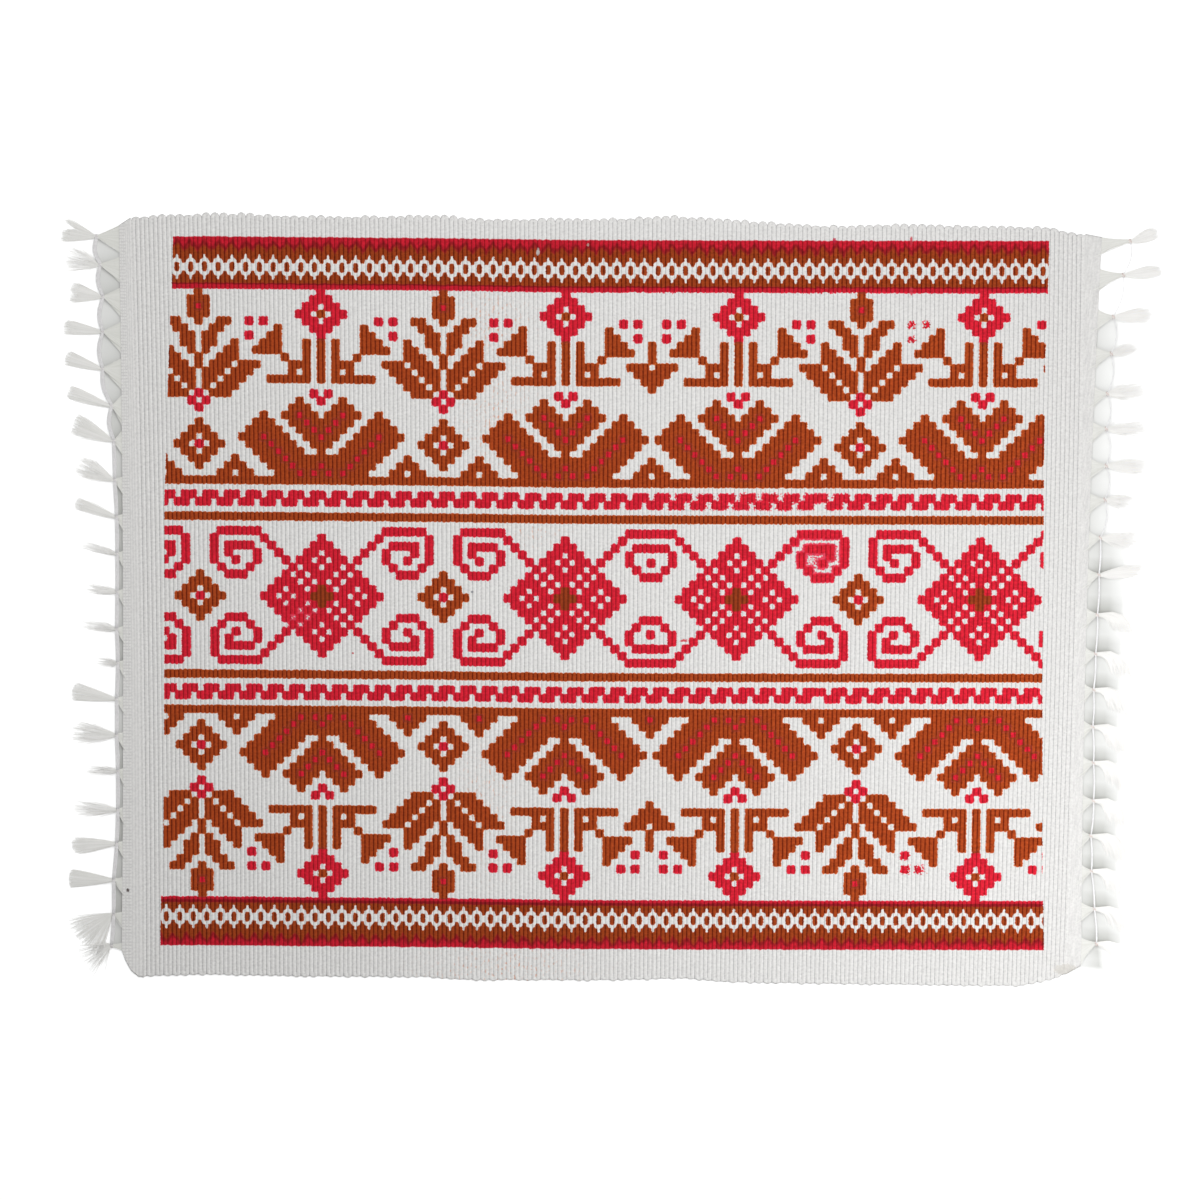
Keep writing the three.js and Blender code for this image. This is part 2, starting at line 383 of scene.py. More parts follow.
upperX, lowerX, ribPlace, isHeading = clothColumns()
random = np.random.RandomState(cloth["seed"])
loopLift = random.uniform(-1, 1, (2, cloth["ribs"] // 2 + 2))
loopLift *= np.array(cloth["loopUnevenness"])[:, None]
towardsRibs = ribPlace / cloth["headingLines"]
towardsRibs = np.where(upperX < 0, towardsRibs, 1 - towardsRibs)
stripThickness = cloth["headingThickness"] + cloth["headingRise"] * towardsRibs
fullThickness = np.where(isHeading, stripThickness, cloth["thickness"])


def loopShape(selvedge):
    # For each column: its distance from its loop's middle, the notch and the loop's own height.
    pitch = 2 * cloth["cordRadius"]
    loop = ribPlace + selvedge
    aside = np.abs(loop % 2 - 1) * pitch
    power = cloth["loopSquareness"]
    notch = pitch - np.maximum(pitch**power - aside**power, 0) ** (1 / power)
    notch = np.minimum(notch, cloth["loopNotch"][selvedge])
    lift = loopLift[selvedge][(loop // 2).astype(int)] * (1 - (aside / pitch) ** 4)
    plain = isHeading
    return np.where(plain, pitch, aside), np.where(plain, 0, notch), np.where(plain, 0, lift)


def cordHeight(aside, depth, deepest):
    # The upper face of the serpentine cord that the ribs and the selvedge loops are made of.
    radius, power = cloth["cordRadius"], cloth["loopSquareness"]
    bend = np.maximum(2 * radius - depth, 0)
    around = (aside**power + bend**power) ** (1 / power)
    away = np.minimum(np.abs(around - radius) / radius, 1)
    middle = cloth["thickness"] / 2
    open_ = (around > radius) & (bend > 0)
    low = np.clip((depth - deepest) / cloth["edgeRounding"], 0, 1)
    base = np.where(open_, middle + (cloth["grooveHeight"] - middle) * low, cloth["grooveHeight"])
    return base + (cloth["thickness"] - base) * np.sqrt(1 - away**3)


def clothHeight(depths):
    part = ribPlace % 1
    grooved = cloth["headingThickness"] - cloth["headingGroove"]
    fine = fullThickness - np.where(part > 0.01, 0, grooved)
    middle = fullThickness / 2
    edge = np.clip(np.minimum(depths[0], depths[1]) / cloth["edgeRounding"], 0, 1)
    plain = middle + (fine - middle) * edge
    pairs = zip(loops, depths, cloth["loopNotch"])
    ribbed = np.minimum(*[cordHeight(loop[0], depth, deepest) for loop, depth, deepest in pairs])
    return np.where(isHeading, plain, ribbed)


def endBow(side, y):
    top, bottom = cloth["endBowSpan"]
    down = np.clip((y - top) / (bottom - top), 0, 1)
    return cloth["endBow"][side] * 4 * down * (1 - down)


def placeRow(yAt):
    x = upperX.copy()
    for _ in range(3):
        x = lineX(upperX, lowerX, yAt(x))
    y = yAt(x)
    fromRibs = ribPlace / cloth["headingLines"]
    x = x + np.where(isHeading & (upperX < 0), (1 - fromRibs) * endBow("left", y), 0)
    return x + np.where(isHeading & (upperX > 0), fromRibs * endBow("right", y), 0), y


def selvedgeRow(selvedge, depth):
    curve = outline["lowerSelvedge" if selvedge else "upperSelvedge"]
    inwards = 1 if selvedge else -1
    aside, notch, lift = loops[selvedge]
    fade = 1 - depth / cloth["selvedgeRows"][-1]
    return placeRow(lambda x: alongCurve(curve, x) + inwards * (depth + (notch - lift) * fade))


def betweenRows(first, last, share):
    return placeRow(lambda x: first[1] + (last[1] - first[1]) * share)


loops = [loopShape(0), loopShape(1)]
rowEdges = np.arange(ornament["rows"] + 1) - 0.5
fieldRows = [placeRow(lambda x, edge=edge: rowEdgeY(x, edge)) for edge in rowEdges]


def clothRows(depthList, middleRows):
    upper = [selvedgeRow(0, depth) for depth in depthList]
    lower = [selvedgeRow(1, depth) for depth in reversed(depthList)]
    return upper + middleRows(upper[-1], lower[0]) + lower


def printedMiddle(above, below):
    shares = np.linspace(0, 1, cloth["marginRows"] + 2)[1:-1]
    upper = [betweenRows(above, fieldRows[0], share) for share in shares]
    lower = [betweenRows(fieldRows[-1], below, share) for share in shares]
    return upper + fieldRows + lower


def plainMiddle(above, below):
    shares = np.linspace(0, 1, cloth["undersideMiddleRows"] + 2)[1:-1]
    return [betweenRows(above, below, share) for share in shares]


def clothGrid(rows):
    x = np.array([row[0] for row in rows])
    y = np.array([row[1] for row in rows])
    aboveDepth = alongCurve(outline["upperSelvedge"], x) - y
    belowDepth = y - alongCurve(outline["lowerSelvedge"], x)
    z = np.array([clothHeight(pair) for pair in zip(aboveDepth + loops[0][2], belowDepth + loops[1][2])])
    return x, y, z


topRows = clothRows(cloth["selvedgeRows"], printedMiddle)
topX, topY, topZ = clothGrid(topRows)
backRows = clothRows(cloth["undersideRows"], plainMiddle)
backX, backY, backZ = clothGrid(backRows)
for row in (0, -1):
    topZ[row] = fullThickness / 2
    backZ[row] = fullThickness / 2
for side in (0, -1):
    topZ[1:-1, side], backZ[1:-1, side] = cloth["cutEnd"]
backZ = fullThickness - backZ

rowCount, columnCount = topX.shape
backCount = len(backX)
topIndex = np.arange(rowCount * columnCount).reshape(rowCount, columnCount)
backIndex = topIndex.size + np.arange((backCount - 2) * columnCount).reshape(-1, columnCount)
backIndex = np.vstack([topIndex[0], backIndex, topIndex[-1]])


def gridFaces(index, upwards):
    corners = [index[:-1, :-1], index[1:, :-1], index[1:, 1:], index[:-1, 1:]]
    if not upwards:
        corners.reverse()
    return np.stack(corners, axis=-1).reshape(-1, 4)


def stitchEnd(top, back, topLine, backLine, outwards):
    # Triangles between the upper and the lower face along one end of the cloth.
    faces, i, j = [], 0, 0
    while i + 1 < len(topLine) or j + 1 < len(backLine):
        useTop = j + 1 == len(backLine) or (i + 1 < len(topLine) and top[i + 1] >= back[j + 1])
        third = topLine[i + 1] if useTop else backLine[j + 1]
        face = [topLine[i], third, backLine[j]] if outwards > 0 else [topLine[i], backLine[j], third]
        if len(set(face)) == 3:
            faces.append([int(corner) for corner in face])
        i, j = (i + 1, j) if useTop else (i, j + 1)
    return faces


clothFaces = gridFaces(topIndex, True).tolist() + gridFaces(backIndex, False).tolist()
for side, outwards in ((0, 1), (-1, -1)):
    clothFaces += stitchEnd(topY[:, side], backY[:, side], topIndex[:, side], backIndex[:, side], outwards)
clothVertices = np.concatenate([
    np.stack([topX, topY, topZ], axis=-1).reshape(-1, 3),
    np.stack([backX[1:-1], backY[1:-1], backZ[1:-1]], axis=-1).reshape(-1, 3),
]) * mm
print("cloth:", len(clothVertices), "vertices,", len(clothFaces), "faces")

# The border in millimetres, with its height counted outwards from the middle of its white hexagons.
# Each ink's depth is counted in from the border's outer edge, at a hexagon and between two.
border = {
    "outerEdge": 12.97,
    "innerEdge": (-9.16, -8.3),  # where the upper and the lower border meet the charted rows
    "lowerScale": 1.0485,  # the lower border is printed a little narrower
    "firstHexagon": (-189.6, -194.2),
    "period": (5.963, 5.86),
    "redDepth": ((2.9, 6.1), (2.2, 5.6)),
    "rustDepth": ((1.1, 4.3), (0.9, 3.7)),
    "toothSoftness": {"red": 0.2, "rust": 0.22},
    "redLine": ((-6.9, 0.65), (-6.5, 1.3)),  # its inner edge and how far the rust runs under it
    "hexagon": [
        (0, 0.91), (0.15, 0.86), (0.19, 0.63), (0.37, 0.58), (0.60, 0.53), (0.69, 0.40),
        (0.74, 0.28), (1, 0.27),
    ],
    "hexagonScale": 6.0,
    "oval": (1.15, 2.2),
    "ovalSquareness": 3.0,
    "wobble": (0.35, 3.0),  # how much the hexagons follow the shifts, along and across the border
}


def cornerValues(grid):
    return np.stack([grid[:-1, :-1], grid[1:, :-1], grid[1:, 1:], grid[:-1, 1:]], axis=-1)


def printAttributes():
    inks = chartOrnament()
    firstField = len(cloth["selvedgeRows"]) + cloth["marginRows"]
    chartRow = np.arange(rowCount - 1) - firstField
    inField = (chartRow >= 0) & (chartRow < ornament["rows"])
    column = cornerValues(columnAt(topX, topY))
    values = {}
    for name, cells in inks.items():
        beside = np.full(cells.shape[1], name == "red")
        padded = np.vstack([beside, cells, beside])
        reach = np.full((*column.shape, 3), -0.5)
        for band in np.flatnonzero(inField):
            for slot, row in enumerate((1, 0, 2)):
                reach[band, :, :, slot] = signedReach(padded[chartRow[band] + row], column[band])
        values[name] = reach
    room = np.minimum(
        topX - alongCurve(ornament["leftLimit"], topY),
        alongCurve(ornament["rightLimit"], topY) - topX,
    )
    down = np.broadcast_to(np.array([0, 1, 1, 0.0]), column.shape)
    isBorder = np.broadcast_to(np.where(inField, 0.0, 1.0)[:, None, None], column.shape)
    values["place"] = np.stack([down, cornerValues(room), isBorder], axis=-1)
    upper = topY > 0
    upperHeight = topY - rowEdgeY(topX, -0.5) + border["innerEdge"][0]
    lowerHeight = rowEdgeY(topX, ornament["rows"] - 0.5) - topY + border["innerEdge"][1]
    height = np.where(upper, upperHeight, lowerHeight * border["lowerScale"])
    first = np.where(upper, *border["firstHexagon"])
    period = np.where(upper, *border["period"])
    grids = ((topX - first) / period, height, np.where(upper, 0.0, 1.0))
    values["border"] = np.stack([cornerValues(grid) for grid in grids], axis=-1)
    return values


# Faint rust dust that sits in the grooves: places in millimetres, with their reach.
dust = [
    {"x": -52, "y": 120, "reach": (13, 12), "amount": 1.0},
    {"x": -50, "y": 78, "reach": (14, 22), "amount": 0.8},
    {"x": -57, "y": 50, "reach": (5, 5), "amount": 0.6},
    {"x": -36, "y": 31, "reach": (12, 6), "amount": 0.8},
    {"x": -56, "y": -90, "reach": (10, 26), "amount": 0.7},
    {"x": -46, "y": -160, "reach": (28, 8), "amount": 1.0},
]


# Where the screen was pressed unevenly: the inks' change in cells, and how ragged they turn.
flaws = [
    {"x": 89, "y": 19, "reach": (10, 9), "red": 0.30, "ragged": 0.3},
    {"x": 130, "y": 117, "reach": (8, 8), "red": -0.28, "ragged": 0.8},
    {"x": 62, "y": 43, "reach": (44, 6), "red": 0.06, "ragged": 0.5},
    {"x": 97, "y": 134, "reach": (14, 4), "red": -0.04, "ragged": 0.6},
    {"x": 24, "y": 136, "reach": (12, 4), "red": -0.02, "ragged": 0.5},
    {"x": 133, "y": -117, "reach": (10, 8), "red": -0.05, "ragged": 0.6},
    {"x": -135.5, "y": -6, "reach": (6.5, 6), "red": 0.24, "ragged": 0.4},
]


def patchAmount(patches, name, x, y):
    total = np.zeros(x.shape)
    for patch in patches:
        apart = ((x - patch["x"]) / patch["reach"][0]) ** 2 + ((y - patch["y"]) / patch["reach"][1]) ** 2
        total += patch[name] * np.exp(-apart)
    return total


# Printed cotton: thick weft cords covered by fine warp, screen-printed in two inks. To the eye
# it is matt and soft, with dark grooves, a slight nap and ink that feathers along the yarn. The
# grooves' darkness is painted shade, added to what the mesh's own grooves cast.
printedCotton = {
    "cotton": "#EDECEA",
    # The groove colours are painted shade: yarn darkened where the grooves between the ribs lie in shade.
    "cottonGroove": "#BEBDBD",
    "red": "#E62439",
    "redGroove": "#A01622",
    "redRim": "#F0506A",
    "rust": "#B44A1E",
    "rustGroove": "#702008",
    "rustRim": "#F07828",
    "overprint": ("#8E4212", "#741A16"),  # in the charts and in the border
    "overprintShare": (0.85, 0.68),  # also in the charts and in the border
    # Painted shade: the overprint is darker in the grooves.
    "overprintShade": (0.5, 1.1),  # from the groove to the top of a rib
    "borderWeight": 0.14,  # the border is printed a little heavier than the rest
    "inkSoftness": (0.035, 0.07),  # also in the charts and in the border
    "spread": {"red": 0.17, "rust": 0.13},  # how far ink creeps past its cell, in cells
    # How far the noises move an edge, in cells, and the ends of the teeth, in millimetres.
    "shifts": {"ribShift": 0.09, "sideShift": 0.1, "toothShift": 0.95},
    "rounding": 0.55,
    "filling": 0.2,
    "rim": 0.12,
    "rimShare": 0.8,
    "cell": 3.1,
    # How wide the painted groove shade reaches, as shares of a rib.
    "grooveHalf": {"cotton": 0.15, "red": 0.22, "rust": 0.25},  # shares of a rib
    "blotch": 0.28,  # how uneven the yarn is
    "fibreTones": (0.66, 1.04),  # of the slanting fibres in the right-hand strip
    # The fine lines are darkened in their grooves: painted shade.
    "lineTones": (0.66, 0.96),  # of the fine lines in the left-hand strip
    "beadTone": 0.32,
    "beadPitch": 1.35,  # the end stitches of the heading, drawn coarser than they are
    "warpPitch": 1.0,  # real warp threads lie 0.45 mm apart, drawn coarser to show
    "bareTones": (0.93, 1.05),  # the darkest and the lightest warp thread
    "inkedTones": (0.78, 1.04),
    # Painted highlight: inked threads grow lighter towards the right, where more light falls.
    "rightHighlightTone": 1.2,  # of the lightest inked thread at the right, reached over these millimetres
    "rightHighlightRange": (-60.0, 190.0),
    "bumpDepth": 0.1,
    "ribBump": 0.1,
    "roughness": 0.95,
    "sheen": 0.03,
    "sheenRoughness": 0.6,
    "specular": 0.1,
    "dust": "#DB8A5E",
    "dustSpecks": (0.58, 0.66, 0.85),  # where a noise turns to specks, and their weight
    "spots": [
        {"place": (-33.0, 150.9), "size": (0.7, 1.4), "colour": "#D8D4D0"},
        {"place": (-11.3, 154.0), "size": (0.5, 0.6), "colour": "#C8A49C"},
        {"place": (-210.9, -126.0), "size": (0.6, 0.8), "colour": "#4A3A38"},
        {"place": (-113.3, -23.1), "size": (0.4, 0.4), "colour": "#C8303C"},
        {"place": (-61.6, 3.4), "size": (0.5, 0.5), "colour": "#8E9296"},
        {"place": (30.4, -17.7), "size": (1.7, 0.6), "colour": "#D83A48"},
        {"place": (128.9, 133.8), "size": (0.8, 1.8), "colour": "#D84050"},
        {"place": (128.9, 155.2), "size": (0.6, 2.0), "colour": "#D84050"},
        {"place": (95.5, 155.9), "size": (0.7, 1.0), "colour": "#C8284A"},
        # A greyish patch at the lower right corner: painted shade where the cloth's corner curls.
        {"place": (196.0, -160.6), "size": (5.0, 2.4), "colour": "#D6D3CD"},
    ],
}

noiseRange = (0.3, 0.7)  # where most values of a noise texture lie


def clothPlaces(add):
    # What the mesh says of each place: the chart, the border, the rib and its millimetres.
    places = {}
    names = {
        "place": ("down", "room", "isBorder"),
        "border": ("phase", "height", "isLower"),
        "rib": ("ribCount", "heading", "dust"),
        "flaws": ("redFlaw", "ragged", "loopTop"),
    }
    for attribute, parts in names.items():
        vector = add("Attribute", attribute_name=attribute).outputs["Vector"]
        places.update(zip(parts, add("SeparateXYZ", (vector,)).outputs))
    flat = add("TexCoord").outputs["Object"]
    places["flat"] = add("VectorMath", {0: flat, "Scale": 1 / mm}, operation="SCALE")
    parts = add("SeparateXYZ", (places["flat"],)).outputs
    places["x"], places["y"] = parts[0], parts[1]
    along = add("Math", (places["y"], 0.25), operation="MULTIPLY")
    perRib = add("CombineXYZ", (places["ribCount"], along))
    ribNoise = add("TexNoise", {"Vector": perRib, "Scale": 1.1, "Detail": 1.0})
    sideNoise = add("TexNoise", {"Vector": places["flat"], "Scale": 1.3, "Detail": 2.0})
    toothNoise = add("TexNoise", {"Vector": perRib, "Scale": 0.9, "Detail": 1.0})
    for name, noise in (("ribShift", ribNoise), ("sideShift", sideNoise), ("toothShift", toothNoise)):
        size = printedCotton["shifts"][name]
        places[name] = add("MapRange", (noise, 0.25, 0.75, -size, size))
    rag = add("MapRange", (sideNoise, *noiseRange, -0.5, 0.5))
    rag = add("Math", (rag, places["ragged"]), operation="MULTIPLY")
    places["redFlaw"] = add("Math", (rag, places["redFlaw"]), operation="ADD")
    places["fromGroove"] = add("Math", (places["ribCount"], 0.5), operation="PINGPONG")
    return places


def chartedInk(add, places):
    # The charted rows: how far a place is inside each ink, in cells.
    inks = {}
    for name in ("red", "rust"):
        creep, rounding = printedCotton["spread"][name], printedCotton["rounding"]
        spread = add("Math", (places["sideShift"], creep), operation="ADD")
        shallow = add("MapRange", (places["fromGroove"], 0.0, 0.25, -0.08, 0.0))
        row = add("Math", (places["down"], places["ribShift"]), operation="ADD")
        creepHere = add("Math", (shallow, creep), operation="ADD")
        roomAbove = add("Math", (row, creepHere), operation="ADD")
        pastRow = add("Math", (1.0, row), operation="SUBTRACT")
        roomBelow = add("Math", (pastRow, creepHere), operation="ADD")
        fromAbove = add("Math", (creepHere, row), operation="SUBTRACT")
        fromBelow = add("Math", (creepHere, pastRow), operation="SUBTRACT")
        reach = add("Attribute", attribute_name=name).outputs["Vector"]
        here, above, below = add("SeparateXYZ", (reach,)).outputs
        ink = add("Math", (here, spread), operation="ADD")
        joined = []
        for neighbour, room, start in ((above, roomAbove, fromAbove), (below, roomBelow, fromBelow)):
            inked = add("Math", (neighbour, 0.0), operation="MAXIMUM")
            edge = add("Math", (inked, 4.0, room), operation="MULTIPLY_ADD")
            ink = add("Math", (ink, edge, rounding), operation="SMOOTH_MIN")
            crept = add("Math", (neighbour, spread), operation="ADD")
            joined.append(add("Math", (crept, start, rounding), operation="SMOOTH_MIN"))
        for other in joined:
            ink = add("Math", (ink, other, printedCotton["filling"]), operation="SMOOTH_MAX")
        inks[name] = ink
    return inks


def borderInk(add, places):
    # The border, worked out from the phase along its hexagons and the height across it.
    aside = add("Math", (places["phase"], 0.5), operation="PINGPONG")
    alongWobble, acrossWobble = border["wobble"]
    aside = add("Math", (places["sideShift"], alongWobble, aside), operation="MULTIPLY_ADD")
    share = add("Math", (aside, 2.0), operation="MULTIPLY")
    shift = add("Math", (places["ribShift"], acrossWobble), operation="MULTIPLY")
    height = add("Math", (places["height"], shift), operation="ADD")
    size = add("Math", (height,), operation="ABSOLUTE")
    hexagon = add("FloatCurve", {"Value": share})
    curve = hexagon.mapping.curves[0]
    curve.points[0].location = border["hexagon"][0]
    curve.points[1].location = border["hexagon"][-1]
    for point in border["hexagon"][1:-1]:
        curve.points.new(*point)
    for point in curve.points:
        point.handle_type = "VECTOR"
    hexagon.mapping.update()
    hexRoom = add("Math", (hexagon, border["hexagonScale"]), operation="MULTIPLY")
    outside = add("Math", (size, hexRoom), operation="SUBTRACT")
    ovalWidth, ovalHeight = border["oval"]
    across = add("Math", (aside, border["period"][0] / ovalWidth), operation="MULTIPLY")
    up = add("Math", (size, 1 / ovalHeight), operation="MULTIPLY")
    parts = [add("Math", (part, border["ovalSquareness"]), operation="POWER") for part in (across, up)]
    ovalReach = add("Math", (parts[0], parts[1]), operation="ADD")
    inside = add("Math", (1.0, ovalReach), operation="SUBTRACT")
    shape = add("Math", (outside, inside), operation="MAXIMUM")

    depth = add("Math", (border["outerEdge"], height), operation="SUBTRACT")
    edges, values = {}, {}
    for name in ("redDepth", "rustDepth", "redLine"):
        values[name] = [add("Mix", {0: places["isLower"], 2: upper, 3: lower})
                        for upper, lower in zip(*border[name])]
    for name in ("red", "rust"):
        near, far = values[name + "Depth"]
        limit = add("MapRange", {0: share, 3: near, 4: far})
        limit = add("Math", (limit, places["toothShift"]), operation="ADD")
        past = add("Math", (limit, depth), operation="SUBTRACT")
        edges[name] = add("Math", (past, border["toothSoftness"][name]), operation="MULTIPLY")
    inner, under = values["redLine"]
    line = add("Math", (inner, height), operation="SUBTRACT")
    red = add("Math", (edges["red"], line), operation="MAXIMUM")
    beyond = add("Math", (edges["rust"], -1.0), operation="MULTIPLY")
    rust = add("Math", (shape, beyond), operation="MINIMUM")
    limit = add("Math", (under, line), operation="SUBTRACT")
    rust = add("Math", (rust, limit), operation="MINIMUM")
    room = add("Math", (depth, 0.25), operation="ADD")
    inks = {}
    for name, ink in (("red", red), ("rust", rust), ("redRim", room), ("rustRim", shape)):
        ink = add("Math", (ink, room), operation="MINIMUM")
        inks[name] = add("Math", (ink, 1 / printedCotton["cell"]), operation="MULTIPLY")
    return inks


def inkMasks(add, places):
    # Where each ink lies, and how near a place is to the ink's own edge, both from 0 to 1.
    look = printedCotton
    charted, bordered = chartedInk(add, places), borderInk(add, places)
    room = add("Math", (places["sideShift"], 2.0, places["room"]), operation="MULTIPLY_ADD")
    masks, rims = {}, {}
    inChart, inBorder = look["inkSoftness"]
    for name in ("red", "rust"):
        ink = add("Mix", {0: places["isBorder"], 2: charted[name], 3: bordered[name]})
        if name == "red":
            ink = add("Math", (ink, places["redFlaw"]), operation="ADD")
        limited = add("Math", (ink, room), operation="MINIMUM")
        soft = add("Mix", {0: places["isBorder"], 2: inChart, 3: inBorder})
        hard = add("Math", (soft, -1.0), operation="MULTIPLY")
        masks[name] = add("MapRange", (limited, hard, soft), interpolation_type="SMOOTHSTEP")
        bare = bordered[name + "Rim"]
        thin = add("Mix", {0: places["isBorder"], 2: charted[name], 3: bare})
        rims[name] = add("MapRange", (thin, 0.0, look["rim"], 1.0, 0.0))
    return masks, rims


def headingLevel(add, places, blotch):
    # The tone of the end strips: beaded lines at the left and slanting fibres at the right.
    look = printedCotton
    bead = add("Math", (places["y"], 1 / look["beadPitch"]), operation="MULTIPLY")
    bead = add("Math", (bead, 0.5), operation="PINGPONG")
    bead = add("MapRange", (bead, 0.1, 0.4, -look["beadTone"], look["beadTone"]))
    onLine = add("MapRange", (places["fromGroove"], 0.05, 0.3))
    bead = add("Math", (bead, onLine), operation="MULTIPLY")
    leftEnd = add("MapRange", (places["x"], 50.0, -50.0))
    fromMiddle = add("Math", (places["ribCount"], cloth["ribs"] / 2), operation="SUBTRACT")
    fromMiddle = add("Math", (fromMiddle,), operation="ABSOLUTE")
    outermost = cloth["ribs"] / 2 + cloth["headingLines"] - 3
    edge = add("MapRange", (fromMiddle, outermost, outermost + 0.4))
    beads = add("Math", (bead, edge), operation="MULTIPLY")
    beads = add("Math", (beads, leftEnd), operation="MULTIPLY")
    slant = add("Math", (places["y"], -0.15, places["x"]), operation="MULTIPLY_ADD")
    alongSlant = add("Math", (places["y"], 0.1), operation="MULTIPLY")
    fibrePlace = add("CombineXYZ", (slant, alongSlant))
    fibres = add("TexNoise", {"Vector": fibrePlace, "Scale": 1.1, "Detail": 3.0})
    fibres = add("MapRange", (fibres, *noiseRange, *look["fibreTones"]))
    line = add("MapRange", (places["fromGroove"], 0.0, 0.3, *look["lineTones"]))
    line = add("Mix", {0: leftEnd, 2: fibres, 3: line})
    level = add("Math", (blotch, 0.18, line), operation="MULTIPLY_ADD")
    return add("Math", (beads, level), operation="ADD", use_clamp=True)


def yarnColours(add, places):
    # Bare and inked yarn, darker in the grooves: painted shade.
    look = printedCotton
    blotch = add("TexNoise", {"Vector": places["flat"], "Scale": 1.1, "Detail": 3.0})
    blotch = add("MapRange", (blotch, *noiseRange, -look["blotch"], look["blotch"]))
    inHeading = headingLevel(add, places, blotch)
    colours = {}
    for name in ("cotton", "red", "rust"):
        crest = add("MapRange", (places["fromGroove"], 0.03, look["grooveHalf"][name]),
                    interpolation_type="SMOOTHERSTEP")
        crest = add("Math", (crest, places["loopTop"]), operation="MAXIMUM")
        dotted = add("Math", (crest, blotch), operation="ADD", use_clamp=True)
        level = add("Mix", {0: places["heading"], 2: dotted, 3: inHeading})
        colours[name] = add("MixRGB", (level, hexColour(look[name + "Groove"]), hexColour(look[name])))
    return colours


def dustyCotton(add, places, cotton):
    # The dust lies in specks, mostly in the grooves.
    look = printedCotton
    first, full, weight = look["dustSpecks"]
    speckPlace = add("VectorMath", (places["flat"], (1.2, 0.55, 1)), operation="MULTIPLY")
    speck = add("TexNoise", {"Vector": speckPlace, "Scale": 1.0, "Detail": 1.0})
    speck = add("MapRange", {0: speck, 1: first, 2: full, 4: weight})
    low = add("MapRange", (places["fromGroove"], 0.1, 0.3, 1.0, 0.2))
    dusty = add("Math", (speck, places["dust"]), operation="MULTIPLY")
    dusty = add("Math", (dusty, low), operation="MULTIPLY")
    return add("MixRGB", (dusty, cotton, hexColour(look["dust"])))


def printedColour(add, places, masks, rims):
    # The two inks on the cotton, with paler rims, the overprint and single spots.
    look = printedCotton
    colours = yarnColours(add, places)
    colour = dustyCotton(add, places, colours["cotton"])
    for name in ("rust", "red"):
        rim = add("Math", (rims[name], look["rimShare"]), operation="MULTIPLY")
        inked = add("MixRGB", (rim, colours[name], hexColour(look[name + "Rim"])))
        colour = add("MixRGB", (masks[name], colour, inked))
    both = add("Math", (masks["red"], masks["rust"]), operation="MULTIPLY")
    inChart, inBorder = look["overprintShare"]
    share = add("Mix", {0: places["isBorder"], 2: inChart, 3: inBorder})
    both = add("Math", (both, share), operation="MULTIPLY")
    overprint = add("MixRGB", (places["isBorder"], *[hexColour(code) for code in look["overprint"]]))
    # Painted shade on the overprint, darker in the grooves than on the ribs.
    ribShade = add("MapRange", (places["fromGroove"], 0.03, 0.4, *look["overprintShade"]))
    overprint = add("VectorMath", {0: overprint, "Scale": ribShade}, operation="SCALE")
    colour = add("MixRGB", (both, colour, overprint))
    for spot in look["spots"]:
        away = add("VectorMath", (places["flat"], (*spot["place"], 0)), operation="SUBTRACT")
        inSizes = add("VectorMath", (away, (*spot["size"], 99)), operation="DIVIDE")
        distance = add("VectorMath", (inSizes,), operation="LENGTH").outputs["Value"]
        distance = add("Math", (places["sideShift"], 4.0, distance), operation="MULTIPLY_ADD")
        mark = add("MapRange", (distance, 0.8, 1.2, 0.9, 0.0))
        colour = add("MixRGB", (mark, colour, hexColour(spot["colour"])))
    return colour


def finishYarn(add, look, colour, relief):
    # What all the yarns share: a fine relief and a surface with some sheen.
    bump = add("Bump", {"Height": relief, "Distance": look["bumpDepth"] * mm})
    shader = add("BsdfPrincipled", {
        "Base Color": colour, "Normal": bump, "Roughness": look["roughness"], "Sheen Weight": look["sheen"],
        "Sheen Roughness": look["sheenRoughness"], "Specular IOR Level": look["specular"]})
    add("OutputMaterial", {"Surface": shader})


